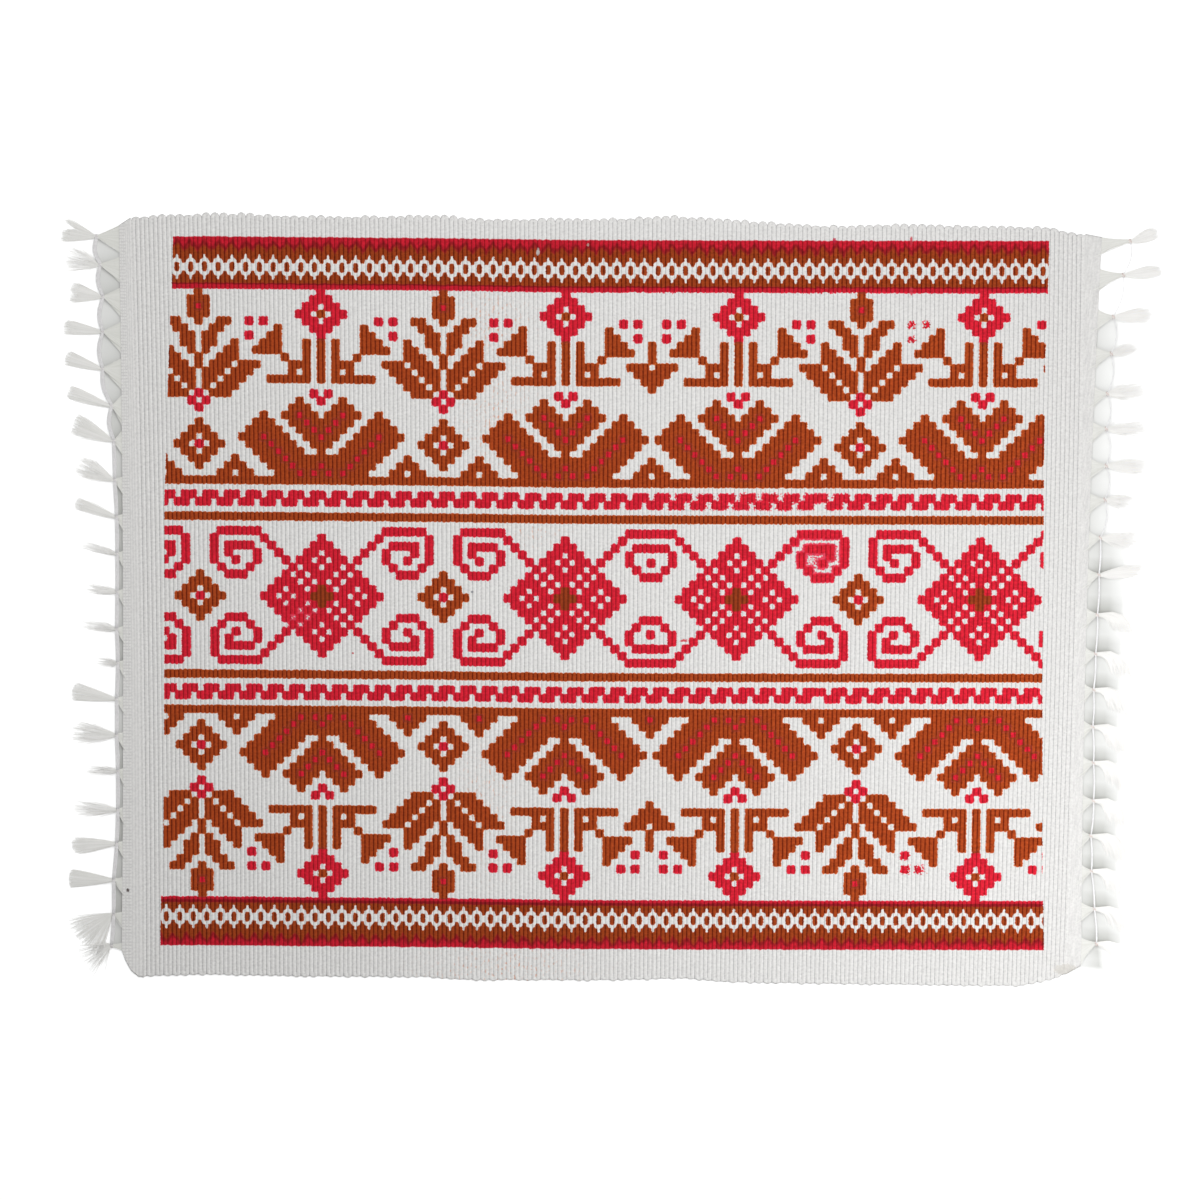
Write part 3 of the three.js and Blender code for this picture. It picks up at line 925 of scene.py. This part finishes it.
def buildPrintedCotton():
    look = printedCotton
    material, add = newMaterial("printed cotton, weft-ribbed")
    places = clothPlaces(add)
    masks, rims = inkMasks(add, places)
    colour = printedColour(add, places, masks, rims)

    # The warp threads that cross each rib, and the nap of the yarn.
    across = add("Math", (places["x"], 0.35), operation="MULTIPLY")
    along = add("Math", (places["y"], 1 / look["warpPitch"]), operation="MULTIPLY")
    warpPlace = add("CombineXYZ", (across, along, places["ribCount"]))
    warp = add("TexNoise", {"Vector": warpPlace, "Scale": 1.0, "Detail": 2.0})
    inked = add("Math", (masks["red"], masks["rust"]), operation="MAXIMUM")
    (bareDark, bareLight), (inkedDark, inkedLight) = look["bareTones"], look["inkedTones"]
    darkest = add("MapRange", {0: inked, 3: bareDark, 4: inkedDark})
    # Painted highlight: the lightest inked tone rises towards the right, where more light falls.
    paler = add("MapRange", (places["x"], *look["rightHighlightRange"], inkedLight, look["rightHighlightTone"]))
    lightest = add("MapRange", {0: inked, 3: bareLight, 4: paler})
    tone = add("MapRange", (warp, *noiseRange, darkest, lightest))
    heavy = add("Math", (places["isBorder"], inked), operation="MULTIPLY")
    heavy = add("Math", (heavy, -look["borderWeight"], 1.0), operation="MULTIPLY_ADD")
    tone = add("Math", (tone, heavy), operation="MULTIPLY")
    colour = add("VectorMath", {0: colour, "Scale": tone}, operation="SCALE")
    arch = add("MapRange", (places["fromGroove"], 0.0, 0.5), interpolation_type="SMOOTHSTEP")
    arch = add("Mix", {0: places["heading"], 2: arch, 3: 0.5})
    ribShare = look["ribBump"] / look["bumpDepth"]
    relief = add("Math", (arch, ribShare, warp), operation="MULTIPLY_ADD")
    finishYarn(add, look, colour, relief)
    return material


def loopTop(x, y):
    # Where a loop of the selvedge closes over the groove between its two ribs. The first rib's
    # outer side counts too, as no other rib shades it.
    closed = np.zeros(x.shape)
    for (aside, _, _), curve, sign in zip(loops, ("upperSelvedge", "lowerSelvedge"), (1, -1)):
        depth = sign * (alongCurve(outline[curve], x) - y)
        closed = np.maximum(closed, (aside < 0.1) & (depth < cloth["loopGroove"]))
    closed[:, ribPlace + isHeading < 0.1] = 1
    return closed.astype(float)


def buildCloth():
    piece = addObject("mat_cloth", clothVertices, clothFaces, buildPrintedCotton())
    mesh = piece.data
    plain = {"red": (-0.5,) * 3, "rust": (-0.5,) * 3, "place": (0, -9, 1), "border": (0, 99, 0)}
    for name, values in printAttributes().items():
        corners = np.tile(np.array(plain[name], dtype=np.float32), (len(mesh.loops), 1))
        corners[:values.size // 3] = values.reshape(-1, 3)
        addAttribute(mesh, name, "FLOAT_VECTOR", "CORNER", corners)
    x, y = clothVertices[:, 0] / mm, clothVertices[:, 1] / mm
    repeat = len(clothVertices) // columnCount
    onward = np.where(upperX < 0, -cloth["headingLines"], cloth["ribs"])
    rib = np.tile(np.where(isHeading, ribPlace + onward, ribPlace), repeat)
    heading = np.tile(isHeading.astype(float), repeat)
    dusty = patchAmount(dust, "amount", x, y)
    addAttribute(mesh, "rib", "FLOAT_VECTOR", "POINT", np.stack([rib, heading, dusty], axis=-1))
    uneven = [patchAmount(flaws, name, x, y) for name in ("red", "ragged")]
    loopTops = [loopTop(topX, topY), loopTop(backX[1:-1], backY[1:-1])]
    loopTops = np.concatenate([part.ravel() for part in loopTops])
    addAttribute(mesh, "flaws", "FLOAT_VECTOR", "POINT", np.stack([*uneven, loopTops], axis=-1))
    return piece


clothPiece = buildCloth()
print("cloth printed")


def addTubes(name, tubes, sides, material, facing=(0, 0, 1)):
    # Each tube is a route, (points, 3), with a radius at each point, in millimetres, and one tone
    # or a tone at each point.
    vertices, faces, tones, start = [], [], [], 0
    turn = 2 * np.pi * (np.arange(sides) + 0.25) / sides
    for route, radii, tone in tubes:
        count = len(route)
        forward = np.gradient(route, axis=0)
        forward /= np.linalg.norm(forward, axis=1, keepdims=True)
        side = np.cross(forward, facing)
        side /= np.linalg.norm(side, axis=1, keepdims=True)
        up = np.cross(side, forward)
        ring = side[:, None] * np.cos(turn)[:, None] + up[:, None] * np.sin(turn)[:, None]
        vertices.append((route[:, None] + ring * np.asarray(radii)[:, None, None]).reshape(-1, 3))
        index = start + np.arange(count * sides).reshape(count, sides)
        after = np.roll(index, -1, axis=1)
        walls = np.stack([index[:-1], after[:-1], after[1:], index[1:]], axis=-1).reshape(-1, 4)
        faces.extend(walls.tolist())
        faces.append(index[0][::-1].tolist())
        faces.append(index[-1].tolist())
        tones.append(np.repeat(np.broadcast_to(tone, count), sides))
        start += count * sides
    piece = addObject(name, np.concatenate(vertices) * mm, faces, material)
    if sides == 3:
        piece.data.shade_flat()
    addAttribute(piece.data, "tone", "FLOAT", "POINT", np.concatenate(tones))
    return piece


# Loose cotton warp ends, softly spun. To the eye they are matt, a little uneven in tone and fluffy.
warpCotton = {
    "light": "#FFFEFC",
    "dark": "#D8D9D2",
    "roughness": 1.0,
    "sheen": 0.3,
    "sheenRoughness": 0.5,
    "specular": 0.1,
    "fluffScale": 2.5,  # clumps of fibre in a millimetre
    "bumpDepth": 0.05,
}


def buildWarpCotton():
    material, add = newMaterial("soft-spun cotton warp")
    tone = add("Attribute", attribute_name="tone").outputs["Fac"]
    colour = add("MixRGB", (tone, hexColour(warpCotton["dark"]), hexColour(warpCotton["light"])))
    flat = add("TexCoord").outputs["Object"]
    fluff = add("TexNoise", {"Vector": flat, "Scale": warpCotton["fluffScale"] / mm, "Detail": 2.0})
    finishYarn(add, warpCotton, colour, fluff)
    return material


# The fringe in millimetres. Each tassel is its neck's X and Y, its tip's X and Y, the width of its
# brush, how far the ends droop towards the lower selvedge and how thin and frayed it is.
fringe = {
    "threads": 140,
    "threadRadius": 0.15,
    "neckRadius": 0.8,
    "neckHeight": 1.35,
    "neckHalf": 0.7,
    "lengthen": 1.08,
    "rootInset": 0.1,
    "rootHeight": (0.75, 0.85),
    "fanReach": (0.38, 0.45),  # where a fan's threads bend, as a share of the way to the neck
    "fanHeight": (1.0, 1.1),
    "tipHeight": (0.12, 0.25),  # at the sides of a tassel, and how much more in its middle
    "bellyHeight": (0.35, 0.55),
    # What fraying does: fewer, thinner and paler threads, the paleness being painted light at the
    # ends. All stray and fall short by the first amount, and by the second as far as a tassel is frayed.
    "fewer": 0.42,
    "thinner": 0.62,
    "paler": 0.45,
    "stray": (0.05, 0.12),
    "short": (0.1, 0.65),
    # At the ten points of a thread: its thickness, and how much fraying thins it and pales it with
    # painted light.
    "thickness": (1, 1, 0.95, 0.8, 0.6, 0.6, 0.9, 1, 0.9, 0.45),
    "thinnerPart": (0.4, 0.4, 0.4, 0.5, 0.6, 0.7, 0.9, 1, 1, 1),
    "paintedLightPart": (0, 0, 0, 0, 0, 0, 0.5, 1, 1, 1),
    "seed": 5,
    "rounding": {"left": 0.04, "right": 0.12},  # how round the end of a brush is
    "bellyShare": {"left": 0.26, "right": 0.34},  # how far a brush has opened half-way along
    "turn": {"left": 6, "right": 8},  # from here on the binding is pulled straighter
    "looseEnd": {"left": (-215.0, -163.0), "right": (210.4, -162.5)},
    "fork": {"place": 0.35, "halfWidth": 0.22, "depth": 0.3},  # in the first tassel on the left
    # A fan reaches this share of the way to the next neck, and leaves the cloth this squarely.
    # Pairs are before and after the turn.
    "fans": {"left": {"up": (0.28, 0.08), "down": (0.56, 0.38), "squareness": 0.55},
             "right": {"up": (0.18, 0.17), "down": (0.38, 0.36), "squareness": 0.4}},
    # The darkest and the lightest thread, in a fan and in a brush. The left side darker than the
    # right and the fans darker than the brushes are painted shade, where less light falls.
    "tones": {"left": ((0.15, 0.45), (0.45, 0.9)), "right": ((0.3, 0.6), (0.6, 0.97))},
    # The thread that ties each neck runs back over the cloth: its radius, reach and fall.
    "ties": {"left": (0.17, 1.8, 7.4), "right": (0.2, 4.0, 7.0)},
    "tieThickness": (0.6, 1, 1, 1, 0.5),  # along its five points
    "left": [
        (-224.4, 157.5, -238.5, 160.4, 10.0, 0, 0.1), (-222.9, 145.3, -237.0, 148.6, 10.5, 0, 0.6),
        (-221.6, 131.4, -235.2, 133.4, 8.5, 0, 0.2), (-221.8, 116.2, -237.8, 118.3, 6.0, 0, 0.2),
        (-221.8, 100.2, -237.0, 104.8, 6.0, 0, 0.1), (-217.9, 84.1, -235.7, 90.0, 6.0, 0, 0.1),
        (-217.0, 69.1, -233.6, 76.2, 9.0, 0, 0.1), (-216.6, 52.0, -232.0, 58.6, 9.0, 0, 0.4),
        (-215.7, 35.9, -232.6, 41.8, 5.0, 0, 0.2), (-215.5, 19.9, -231.9, 24.6, 3.5, 0, 1.0),
        (-215.5, 3.4, -228.5, 5.1, 4.5, 0, 0.8), (-215.7, -12.7, -230.6, -10.6, 4.5, 0, 0.9),
        (-215.2, -27.4, -225.0, -27.0, 4.0, 0, 1.0), (-215.7, -43.1, -233.9, -39.9, 7.5, 0, 0.1),
        (-215.7, -58.7, -233.9, -57.4, 9.5, 0, 0.5), (-215.2, -74.3, -229.7, -73.6, 4.5, 0, 1.0),
        (-215.2, -91.2, -233.9, -90.4, 7.0, 0, 0.8), (-215.7, -105.8, -234.8, -107.0, 7.5, 0.5, 0.2),
        (-217.0, -121.6, -235.2, -120.9, 7.8, 0, 0), (-217.0, -136.6, -230.2, -148.0, 20.5, 0, 0.2),
        (-217.9, -150.0, -230.0, -157.5, 15.0, 0, 0.75),
    ],
    "right": [
        (223.9, 155.5, 235.5, 159.3, 5.6, 0, 0.3), (220.9, 140.8, 237.0, 142.6, 5.4, 0, 0.3),
        (216.6, 122.7, 233.0, 123.8, 7.0, 0, 0.4), (215.7, 106.7, 228.3, 110.4, 5.5, 0, 0.8),
        (214.0, 89.3, 230.8, 91.1, 7.4, 0, 0.6), (213.5, 74.1, 231.3, 74.3, 6.5, 0, 0.6),
        (213.5, 58.1, 231.8, 57.7, 7.0, 0, 0.5), (212.9, 43.3, 228.1, 41.0, 8.6, 1, 0.8),
        (210.9, 26.8, 229.5, 24.6, 10.0, 1, 0.7), (210.3, 10.8, 230.8, 13.0, 7.0, 1, 0.5),
        (209.6, -6.6, 225.2, -16.4, 11.0, 4, 0.4), (208.8, -23.5, 224.0, -36.0, 12.0, 5, 0.4),
        (208.0, -39.1, 223.2, -52.0, 12.0, 5, 0.4), (207.6, -55.2, 222.8, -68.5, 12.0, 5, 0.4),
        (207.9, -70.8, 222.6, -84.5, 12.0, 5, 0.4), (207.9, -87.3, 222.9, -101.0, 12.0, 5, 0.4),
        (206.8, -102.5, 223.0, -115.5, 11.0, 5, 0.4), (207.0, -117.7, 223.2, -130.5, 11.0, 5, 0.4),
        (208.3, -134.2, 223.5, -145.5, 10.0, 4, 0.5), (209.2, -149.2, 222.0, -156.5, 9.0, 3, 0.6),
    ],
}


def bezier(start, control, end, shares):
    shares = np.asarray(shares)[:, None, None]
    return start * (1 - shares) ** 2 + control * 2 * shares * (1 - shares) + end * shares**2


def endX(side, y):
    return lineX(*outline[side + "Edge"], y) + endBow(side, y)


def tasselRoutes(row, bounds, side, random):
    neckX, neckY, tipX, tipY, width, droop, frayed = row
    outwards = -1 if side == "left" else 1
    count = int(fringe["threads"] * (1 - fringe["fewer"] * frayed))
    across = np.linspace(-1, 1, count)
    startY = (bounds[0] + bounds[1]) / 2 + across * (bounds[0] - bounds[1]) / 2
    startX = endX(side, startY) - outwards * fringe["rootInset"]
    start = np.stack([startX, startY, random.uniform(*fringe["rootHeight"], count)], axis=-1)
    reach = abs(neckX - float(endX(side, neckY)))
    square = fringe["fans"][side]["squareness"] * random.uniform(0.9, 1.1, count)
    controlX = startX + outwards * reach * random.uniform(*fringe["fanReach"], count)
    controlY = neckY + (startY - neckY) * square
    control = np.stack([controlX, controlY, random.uniform(*fringe["fanHeight"], count)], axis=-1)

    radius = fringe["neckRadius"]
    inNeck = np.clip(across + random.uniform(-0.08, 0.08, count), -1, 1)
    dome = np.sqrt(1 - inNeck**2)
    neckIn = np.stack([
        np.full(count, neckX - outwards * fringe["neckHalf"]),
        neckY + inNeck * radius,
        fringe["neckHeight"] + random.uniform(0.85, 1, count) * dome * radius,
    ], axis=-1)
    neckOut = neckIn + np.array([2 * outwards * fringe["neckHalf"], 0, 0])

    lean = np.array([tipX - neckX, tipY - neckY, 0])
    length = np.linalg.norm(lean) * fringe["lengthen"]
    lean /= np.linalg.norm(lean)
    sideways = np.array([-lean[1], lean[0], 0]) * outwards
    stray, short = [least + more * frayed for least, more in (fringe["stray"], fringe["short"])]
    spread = inNeck + random.normal(0, stray, count)
    curl = min(droop / 4, 1)
    shortPart = random.uniform(0, 1, count) ** (1.6 - 0.6 * frayed)
    long = 1 - fringe["rounding"][side] * spread**2 - short * shortPart
    if side == "left" and row is fringe["left"][0]:
        fork = fringe["fork"]
        long -= fork["depth"] * np.exp(-(((spread - fork["place"]) / fork["halfWidth"]) ** 2))
    long = np.clip(long, 0.25, 1.05) * length
    bellyShare = fringe["bellyShare"][side]
    tip = np.array([neckX, neckY, 0]) + lean * long[:, None] + sideways * (spread * width / 2)[:, None]
    belly = neckOut + lean * (long * 0.5)[:, None] + sideways * (spread * width * bellyShare)[:, None]
    outer = (spread + 1) / 2
    nested = np.stack([
        neckX + (tipX - neckX) * (0.4 + 0.6 * outer) + random.normal(0, 0.4, count),
        neckY + (tipY - neckY) * (0.6 + 0.4 * outer) * random.uniform(0.75, 1.1, count),
        tip[:, 2],
    ], axis=-1)
    tip += (nested - tip) * curl
    low, rise = fringe["tipHeight"]
    tip[:, 2] = low + rise * dome * random.uniform(0.8, 1, count)
    corner = np.stack([neckX + (tip[:, 0] - neckX) * 0.9, neckOut[:, 1] + 3 * outer, tip[:, 2]], axis=-1)
    belly = belly + (corner - belly) * curl
    low, rise = fringe["bellyHeight"]
    belly[:, 2] = low + rise * dome * random.uniform(0.9, 1, count)
    fan = bezier(start, control, neckIn, (0, 0.3, 0.6, 0.85, 1))
    brush = bezier(neckOut, belly, tip, (0, 0.25, 0.5, 0.75, 1))
    return np.concatenate([fan, brush]).transpose(1, 0, 2)


def tieRoute(row, side):
    outwards = -1 if side == "left" else 1
    _, inwards, fall = fringe["ties"][side]
    endY = row[1] - fall
    end = np.array([float(endX(side, endY)) - outwards * inwards, endY, cloth["headingThickness"] + 0.1])
    start = np.array([row[0], row[1], fringe["neckHeight"] + 0.8])
    middle = (start + end) / 2 + (outwards * 0.5, -0.5, 0.1)
    return bezier(start, middle, end, (0, 0.25, 0.5, 0.75, 1))[:, 0]


def fringeTubes(side, random):
    rows, fans = fringe[side], fringe["fans"][side]
    darkest, lightest = np.repeat(fringe["tones"][side], 5, axis=0).T
    edge = outline[side + "Edge"]
    upper = [alongCurve(outline["upperSelvedge"], edge[0]) - 0.2]
    lower = []
    for index, (above, below) in enumerate(zip(rows, rows[1:])):
        gap, part = above[1] - below[1], int(index >= fringe["turn"][side])
        lower.append(above[1] - fans["down"][part] * gap)
        upper.append(below[1] + fans["up"][part] * gap)
    lower.append(alongCurve(outline["lowerSelvedge"], edge[1]) + 0.2)
    radii = np.array(fringe["thickness"]) * fringe["threadRadius"]
    paintedLightPart, thinnerPart = np.array(fringe["paintedLightPart"]), np.array(fringe["thinnerPart"])
    tubes = []
    for row, bounds in zip(rows, zip(upper, lower)):
        routes = tasselRoutes(row, bounds, side, random)
        bundles = np.repeat(random.uniform(0, 1, len(routes)), 5)[:len(routes)]
        shares = bundles * 0.7 + random.uniform(0, 0.3, len(routes))
        # Painted light: frayed brushes are paler towards their ends.
        paler = fringe["paler"] * row[6] * paintedLightPart
        thinner = fringe["thinner"] * row[6] * thinnerPart
        for route, share in zip(routes, shares):
            tone = np.minimum(darkest + (lightest - darkest) * share + paler, 1)
            tubes.append((route, radii * (1 - thinner), tone))
        if row is rows[-1]:
            break
        tie = fringe["ties"][side][0]
        tubes.append((tieRoute(row, side), np.array(fringe["tieThickness"]) * tie, lightest[0]))
    return tubes


random = np.random.RandomState(fringe["seed"])
warpMaterial = buildWarpCotton()
leftTubes = fringeTubes("left", random)
rightTubes = fringeTubes("right", random)
leftFringe = addTubes("left_fringe", leftTubes, 3, warpMaterial)
rightFringe = addTubes("right_fringe", rightTubes, 3, warpMaterial)
print("fringes:", len(leftTubes) + len(rightTubes), "threads")


# Mercerised binding thread, twisted from fine plies: cooler than the cotton, with a slight gloss.
bindingThread = {
    "cool": "#ECEEF0",
    "knot": "#EBDFDA",
    # Painted light: the white that the thread turns to on the brighter right side.
    "white": "#FEFEFF",
    "plyShade": 0.93,
    "roughness": 0.5,
    "sheen": 0.1,
    "sheenRoughness": 0.5,
    "specular": 0.4,
    "twistPitch": 1.1,
    "bumpDepth": 0.08,
}

# The thread that runs from neck to neck, bowed before the fringe's turn and straighter after it.
binding = {
    # The right thread's white tone against the cool left one is painted light: the right is lit more.
    "left": {"strands": 4, "strandRadius": (0.3, 0.28), "spacing": (0.42, 0.4), "bows": (1.6, -0.1),
             "tone": 0.12, "knotTone": 0.2},
    "right": {"strands": 2, "strandRadius": (0.12, 0.22), "spacing": (0.2, 0.34), "bows": (1.8, 0.4),
              "tone": 1.0, "knotTone": 0.5},
    "wraps": 3,
    "wrapRadius": 0.85,
    "wrapLength": 1.1,
    "wrapThread": 0.22,
    "wrapPoints": 12,  # in one turn
    "underWrap": 0.4,  # how far under a knot a run begins, as a share of the knot's radius
    "runPoints": 7,
    "sag": 0.5,
}


def buildBindingThread():
    material, add = newMaterial("mercerised cotton thread, plied")
    flat = add("TexCoord").outputs["Object"]
    ply = add("TexNoise", {
        "Vector": flat, "Scale": 1 / (bindingThread["twistPitch"] * mm), "Detail": 1.0})
    tone = add("Attribute", attribute_name="tone").outputs["Fac"]
    upTo = add("MapRange", {0: tone, 2: 0.5})
    beyond = add("MapRange", (tone, 0.5))
    colour = add("MixRGB", (upTo, hexColour(bindingThread["cool"]), hexColour(bindingThread["knot"])))
    colour = add("MixRGB", (beyond, colour, hexColour(bindingThread["white"])))
    shade = add("MapRange", (ply, 0.3, 0.6, bindingThread["plyShade"], 1.0))
    colour = add("VectorMath", {0: colour, "Scale": shade}, operation="SCALE")
    finishYarn(add, bindingThread, colour, ply)
    return material


def wrapTube(neckX, neckY, tone):
    turns = np.linspace(0, 2 * np.pi * binding["wraps"], binding["wrapPoints"] * binding["wraps"] + 1)
    along = np.linspace(-0.5, 0.5, len(turns)) * binding["wrapLength"]
    radius = binding["wrapRadius"]
    route = np.stack([
        neckX + along,
        neckY + radius * np.sin(turns),
        fringe["neckHeight"] + radius * np.cos(turns),
    ], axis=-1)
    return route, np.full(len(turns), binding["wrapThread"]), tone


def runMiddle(side, index, shares):
    # The middle of the run from one neck to the next, which bows away from the cloth.
    necks = fringe[side] + [fringe["looseEnd"][side]]
    upper, lower = necks[index:index + 2]
    look = binding[side]
    under = binding["wrapRadius"] * binding["underWrap"]
    fromY, toY = upper[1] - under, lower[1] + under
    bow = look["bows"][int(index >= fringe["turn"][side])] * np.sign(upper[0])
    arch = np.sin(np.pi * shares)
    return upper[0] + (lower[0] - upper[0]) * shares + bow * arch, fromY + (toY - fromY) * shares, arch


def runTubes(side, index):
    x, y, arch = runMiddle(side, index, np.linspace(0, 1, binding["runPoints"]))
    look, part = binding[side], int(index >= fringe["turn"][side])
    tubes = []
    for strand in range(look["strands"]):
        offset = (strand - (look["strands"] - 1) / 2) * look["spacing"][part]
        z = fringe["neckHeight"] + binding["wrapRadius"] - binding["sag"] * arch
        route = np.stack([x + offset * (0.75 + 0.25 * arch), y, z], axis=-1)
        tubes.append((route, np.full(len(y), look["strandRadius"][part]), look["tone"]))
    return tubes


threadMaterial = buildBindingThread()
threadPieces = []
for side in ("left", "right"):
    rows = fringe[side]
    tubes = [wrapTube(row[0], row[1], binding[side]["knotTone"]) for row in rows]
    for index in range(len(rows) - 1):
        tubes.extend(runTubes(side, index))
    threadPieces.append(addTubes(side + "_thread", tubes, 6, threadMaterial, facing=(1, 0, 0.02)))
leftThread, rightThread = threadPieces
print("binding threads laid")

pieces = (
    (clothPiece, "woven_panel", "printed_cotton"),
    (leftFringe, "fringe_left", "warp_cotton"),
    (rightFringe, "fringe_right", "warp_cotton"),
    (leftThread, "knot_thread_left", "binding_thread"),
    (rightThread, "knot_thread_right", "binding_thread"),
)
for piece, node, slot in pieces:
    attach(piece, "root")
    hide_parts(node)

# A pale table top that looks white from the camera and keeps a soft shadow. Where it shows
# between the cloth and its running threads it is greyer: a layer of painted shade. Each side has a
# block of tones before and after the turn: a line for each quarter of a gap, from the cloth's edge to
# the thread, and on the right also to 5, 10 and 15 mm beyond it. The last block on the right is past
# the last neck.
tableTop = {
    "colour": "#E6E7E7",
    "grey": "#B8B9B4",
    "size": 4000,
    "depth": -0.1,
    "glow": 0.55,
    "shadeLayer": 0.02,
    "seed": 4,
    "inwards": 8,
    "left": {"gaps": (0, 20), "beyond": (), "unevenness": 0.08, "tones": (
        ((0.2, 0.26), (0.24, 0.32), (0.24, 0.32), (0.2, 0.28), (0.14, 0.22)),
        ((0.18, 0.2), (0.18, 0.22), (0.18, 0.22), (0.16, 0.2), (0.14, 0.18)),
    )},
    "right": {"gaps": (2, 20), "beyond": (5, 10, 15), "unevenness": 0.03, "tones": (
        ((0.42, 0.56, 0.8, 1, 1), (0.4, 0.56, 0.85, 1, 1), (0.4, 0.6, 1, 1, 1), (0.38, 0.56, 1, 1, 1),
         (0.34, 0.46, 0.8, 1, 1)),
        ((0.34, 0.28, 0.45, 0.62, 1), (0.34, 0.33, 0.45, 0.62, 1), (0.36, 0.36, 0.43, 0.6, 1),
         (0.3, 0.18, 0.22, 0.48, 1), (0.2, 0.03, 0.08, 0.42, 1)),
        ((0.5, 0.3, 1, 1, 1), (0.45, 0.22, 1, 1, 1), (0.5, 0.3, 1, 1, 1), (0.5, 0.24, 1, 1, 1),
         (0.9, 0.8, 1, 1, 1)),
    )},
}


def paintedShadeRows(side, random):
    # Lines of painted shade from under the cloth to the running thread, and on to where it has faded out.
    look, outwards = tableTop[side], -1 if side == "left" else 1
    points, tones = [], []
    for index in range(*look["gaps"]):
        block = look["tones"][(index >= fringe["turn"][side]) + (index == len(fringe[side]) - 1)]
        change = random.uniform(-1, 1) * look["unevenness"]
        for share, line in zip((0.0, 0.25, 0.5, 0.75, 1.0), block):
            x, y, _ = runMiddle(side, index, share)
            edge = float(endX(side, y))
            points.append([(edge - outwards * tableTop["inwards"], y), (edge, y), (x, y)])
            points[-1] += [(x + outwards * distance, y) for distance in look["beyond"]]
            tones.append([line[0], *line])
            tones[-1] = [tone if tone == 1 else max(tone + change, 0) for tone in tones[-1]]
    return points, tones


def buildTableTop():
    material, add = newMaterial("pale matt laminate")
    tone = add("Attribute", attribute_name="tone").outputs["Fac"]
    seen = add("LightPath").outputs["Is Camera Ray"]
    # Painted shade: where the tone is low the floor turns grey and loses its glow.
    colour = add("MixRGB", (tone, hexColour(tableTop["grey"]), hexColour(tableTop["colour"])))
    paint = add("BsdfDiffuse", {"Color": colour})
    glow = add("Math", (tone, tableTop["glow"]), operation="MULTIPLY")
    glow = add("Math", (glow, seen), operation="MULTIPLY")
    white = add("Emission", {"Strength": glow})
    both = add("AddShader", (paint, white))
    add("OutputMaterial", {"Surface": both})
    half = tableTop["size"] / 2
    plain = [[(-half, half), (half, half)], [(-half, -half), (half, -half)]], [[1.0, 1.0]] * 2
    random = np.random.RandomState(tableTop["seed"])
    layers = (("table_top", plain, 0, 1), ("table_shade_left", paintedShadeRows("left", random), 1, -1),
              ("table_shade_right", paintedShadeRows("right", random), 1, 1))
    for name, (points, tones), lift, direction in layers:
        index = np.arange(np.size(tones)).reshape(len(tones), -1)
        height = tableTop["depth"] + tableTop["shadeLayer"] * lift
        vertices = [(x, y, height) for line in points for x, y in line]
        faces = gridFaces(index, direction > 0).tolist()
        top = addObject(name, np.array(vertices) * mm, faces, material)
        addAttribute(top.data, "tone", "FLOAT", "POINT", np.ravel(tones))


# A broad softbox above the upper edge and a small one low over the lower right.
lights = {
    "ambient": 0.305,
    "softboxes": [
        {"place": (0.03, 0.25, 0.77), "aim": (0.0, 0.07, 0.0), "size": 0.6, "power": 3.84},
        {"place": (0.25, -0.17, 0.24), "aim": (0.15, -0.10, 0.0), "size": 0.3, "power": 0.41},
    ],
}


def buildLights():
    world = bpy.data.worlds.new("soft studio")
    bpy.context.scene.world = world
    world.use_nodes = True
    tree = world.node_tree
    add = partial(addNode, tree)
    background = tree.nodes["Background"]
    background.inputs["Color"].default_value = hexColour("#FFFFFF")
    seen = add("LightPath").outputs["Is Camera Ray"]
    strength = add("MapRange", {0: seen, 3: lights["ambient"], 4: 1.0})
    tree.links.new(strength.outputs[0], background.inputs["Strength"])
    for softbox in lights["softboxes"]:
        data = bpy.data.lights.new("softbox", "AREA")
        data.size = softbox["size"]
        data.energy = softbox["power"]
        lamp = bpy.data.objects.new("softbox", data)
        lamp.location = softbox["place"]
        direction = Vector(softbox["aim"]) - lamp.location
        lamp.rotation_euler = direction.to_track_quat("-Z", "Y").to_euler()
        lamp.visible_camera = False
        bpy.context.scene.collection.objects.link(lamp)


# Straight above the mat, high up: the width is what the camera sees across, in metres.
view = {"height": 2.4, "width": 0.5208, "centre": (-6.1 * mm, -0.1 * mm), "sensor": 36}


def buildCamera():
    data = bpy.data.cameras.new("camera")
    data.sensor_width = view["sensor"]
    data.lens = data.sensor_width * view["height"] / view["width"]
    camera = bpy.data.objects.new("camera", data)
    camera.location = (*view["centre"], view["height"])
    bpy.context.scene.collection.objects.link(camera)
    bpy.context.scene.camera = camera


buildTableTop()
buildLights()
buildCamera()
bpy.context.scene.view_settings.view_transform = "Standard"

print("scene ready")
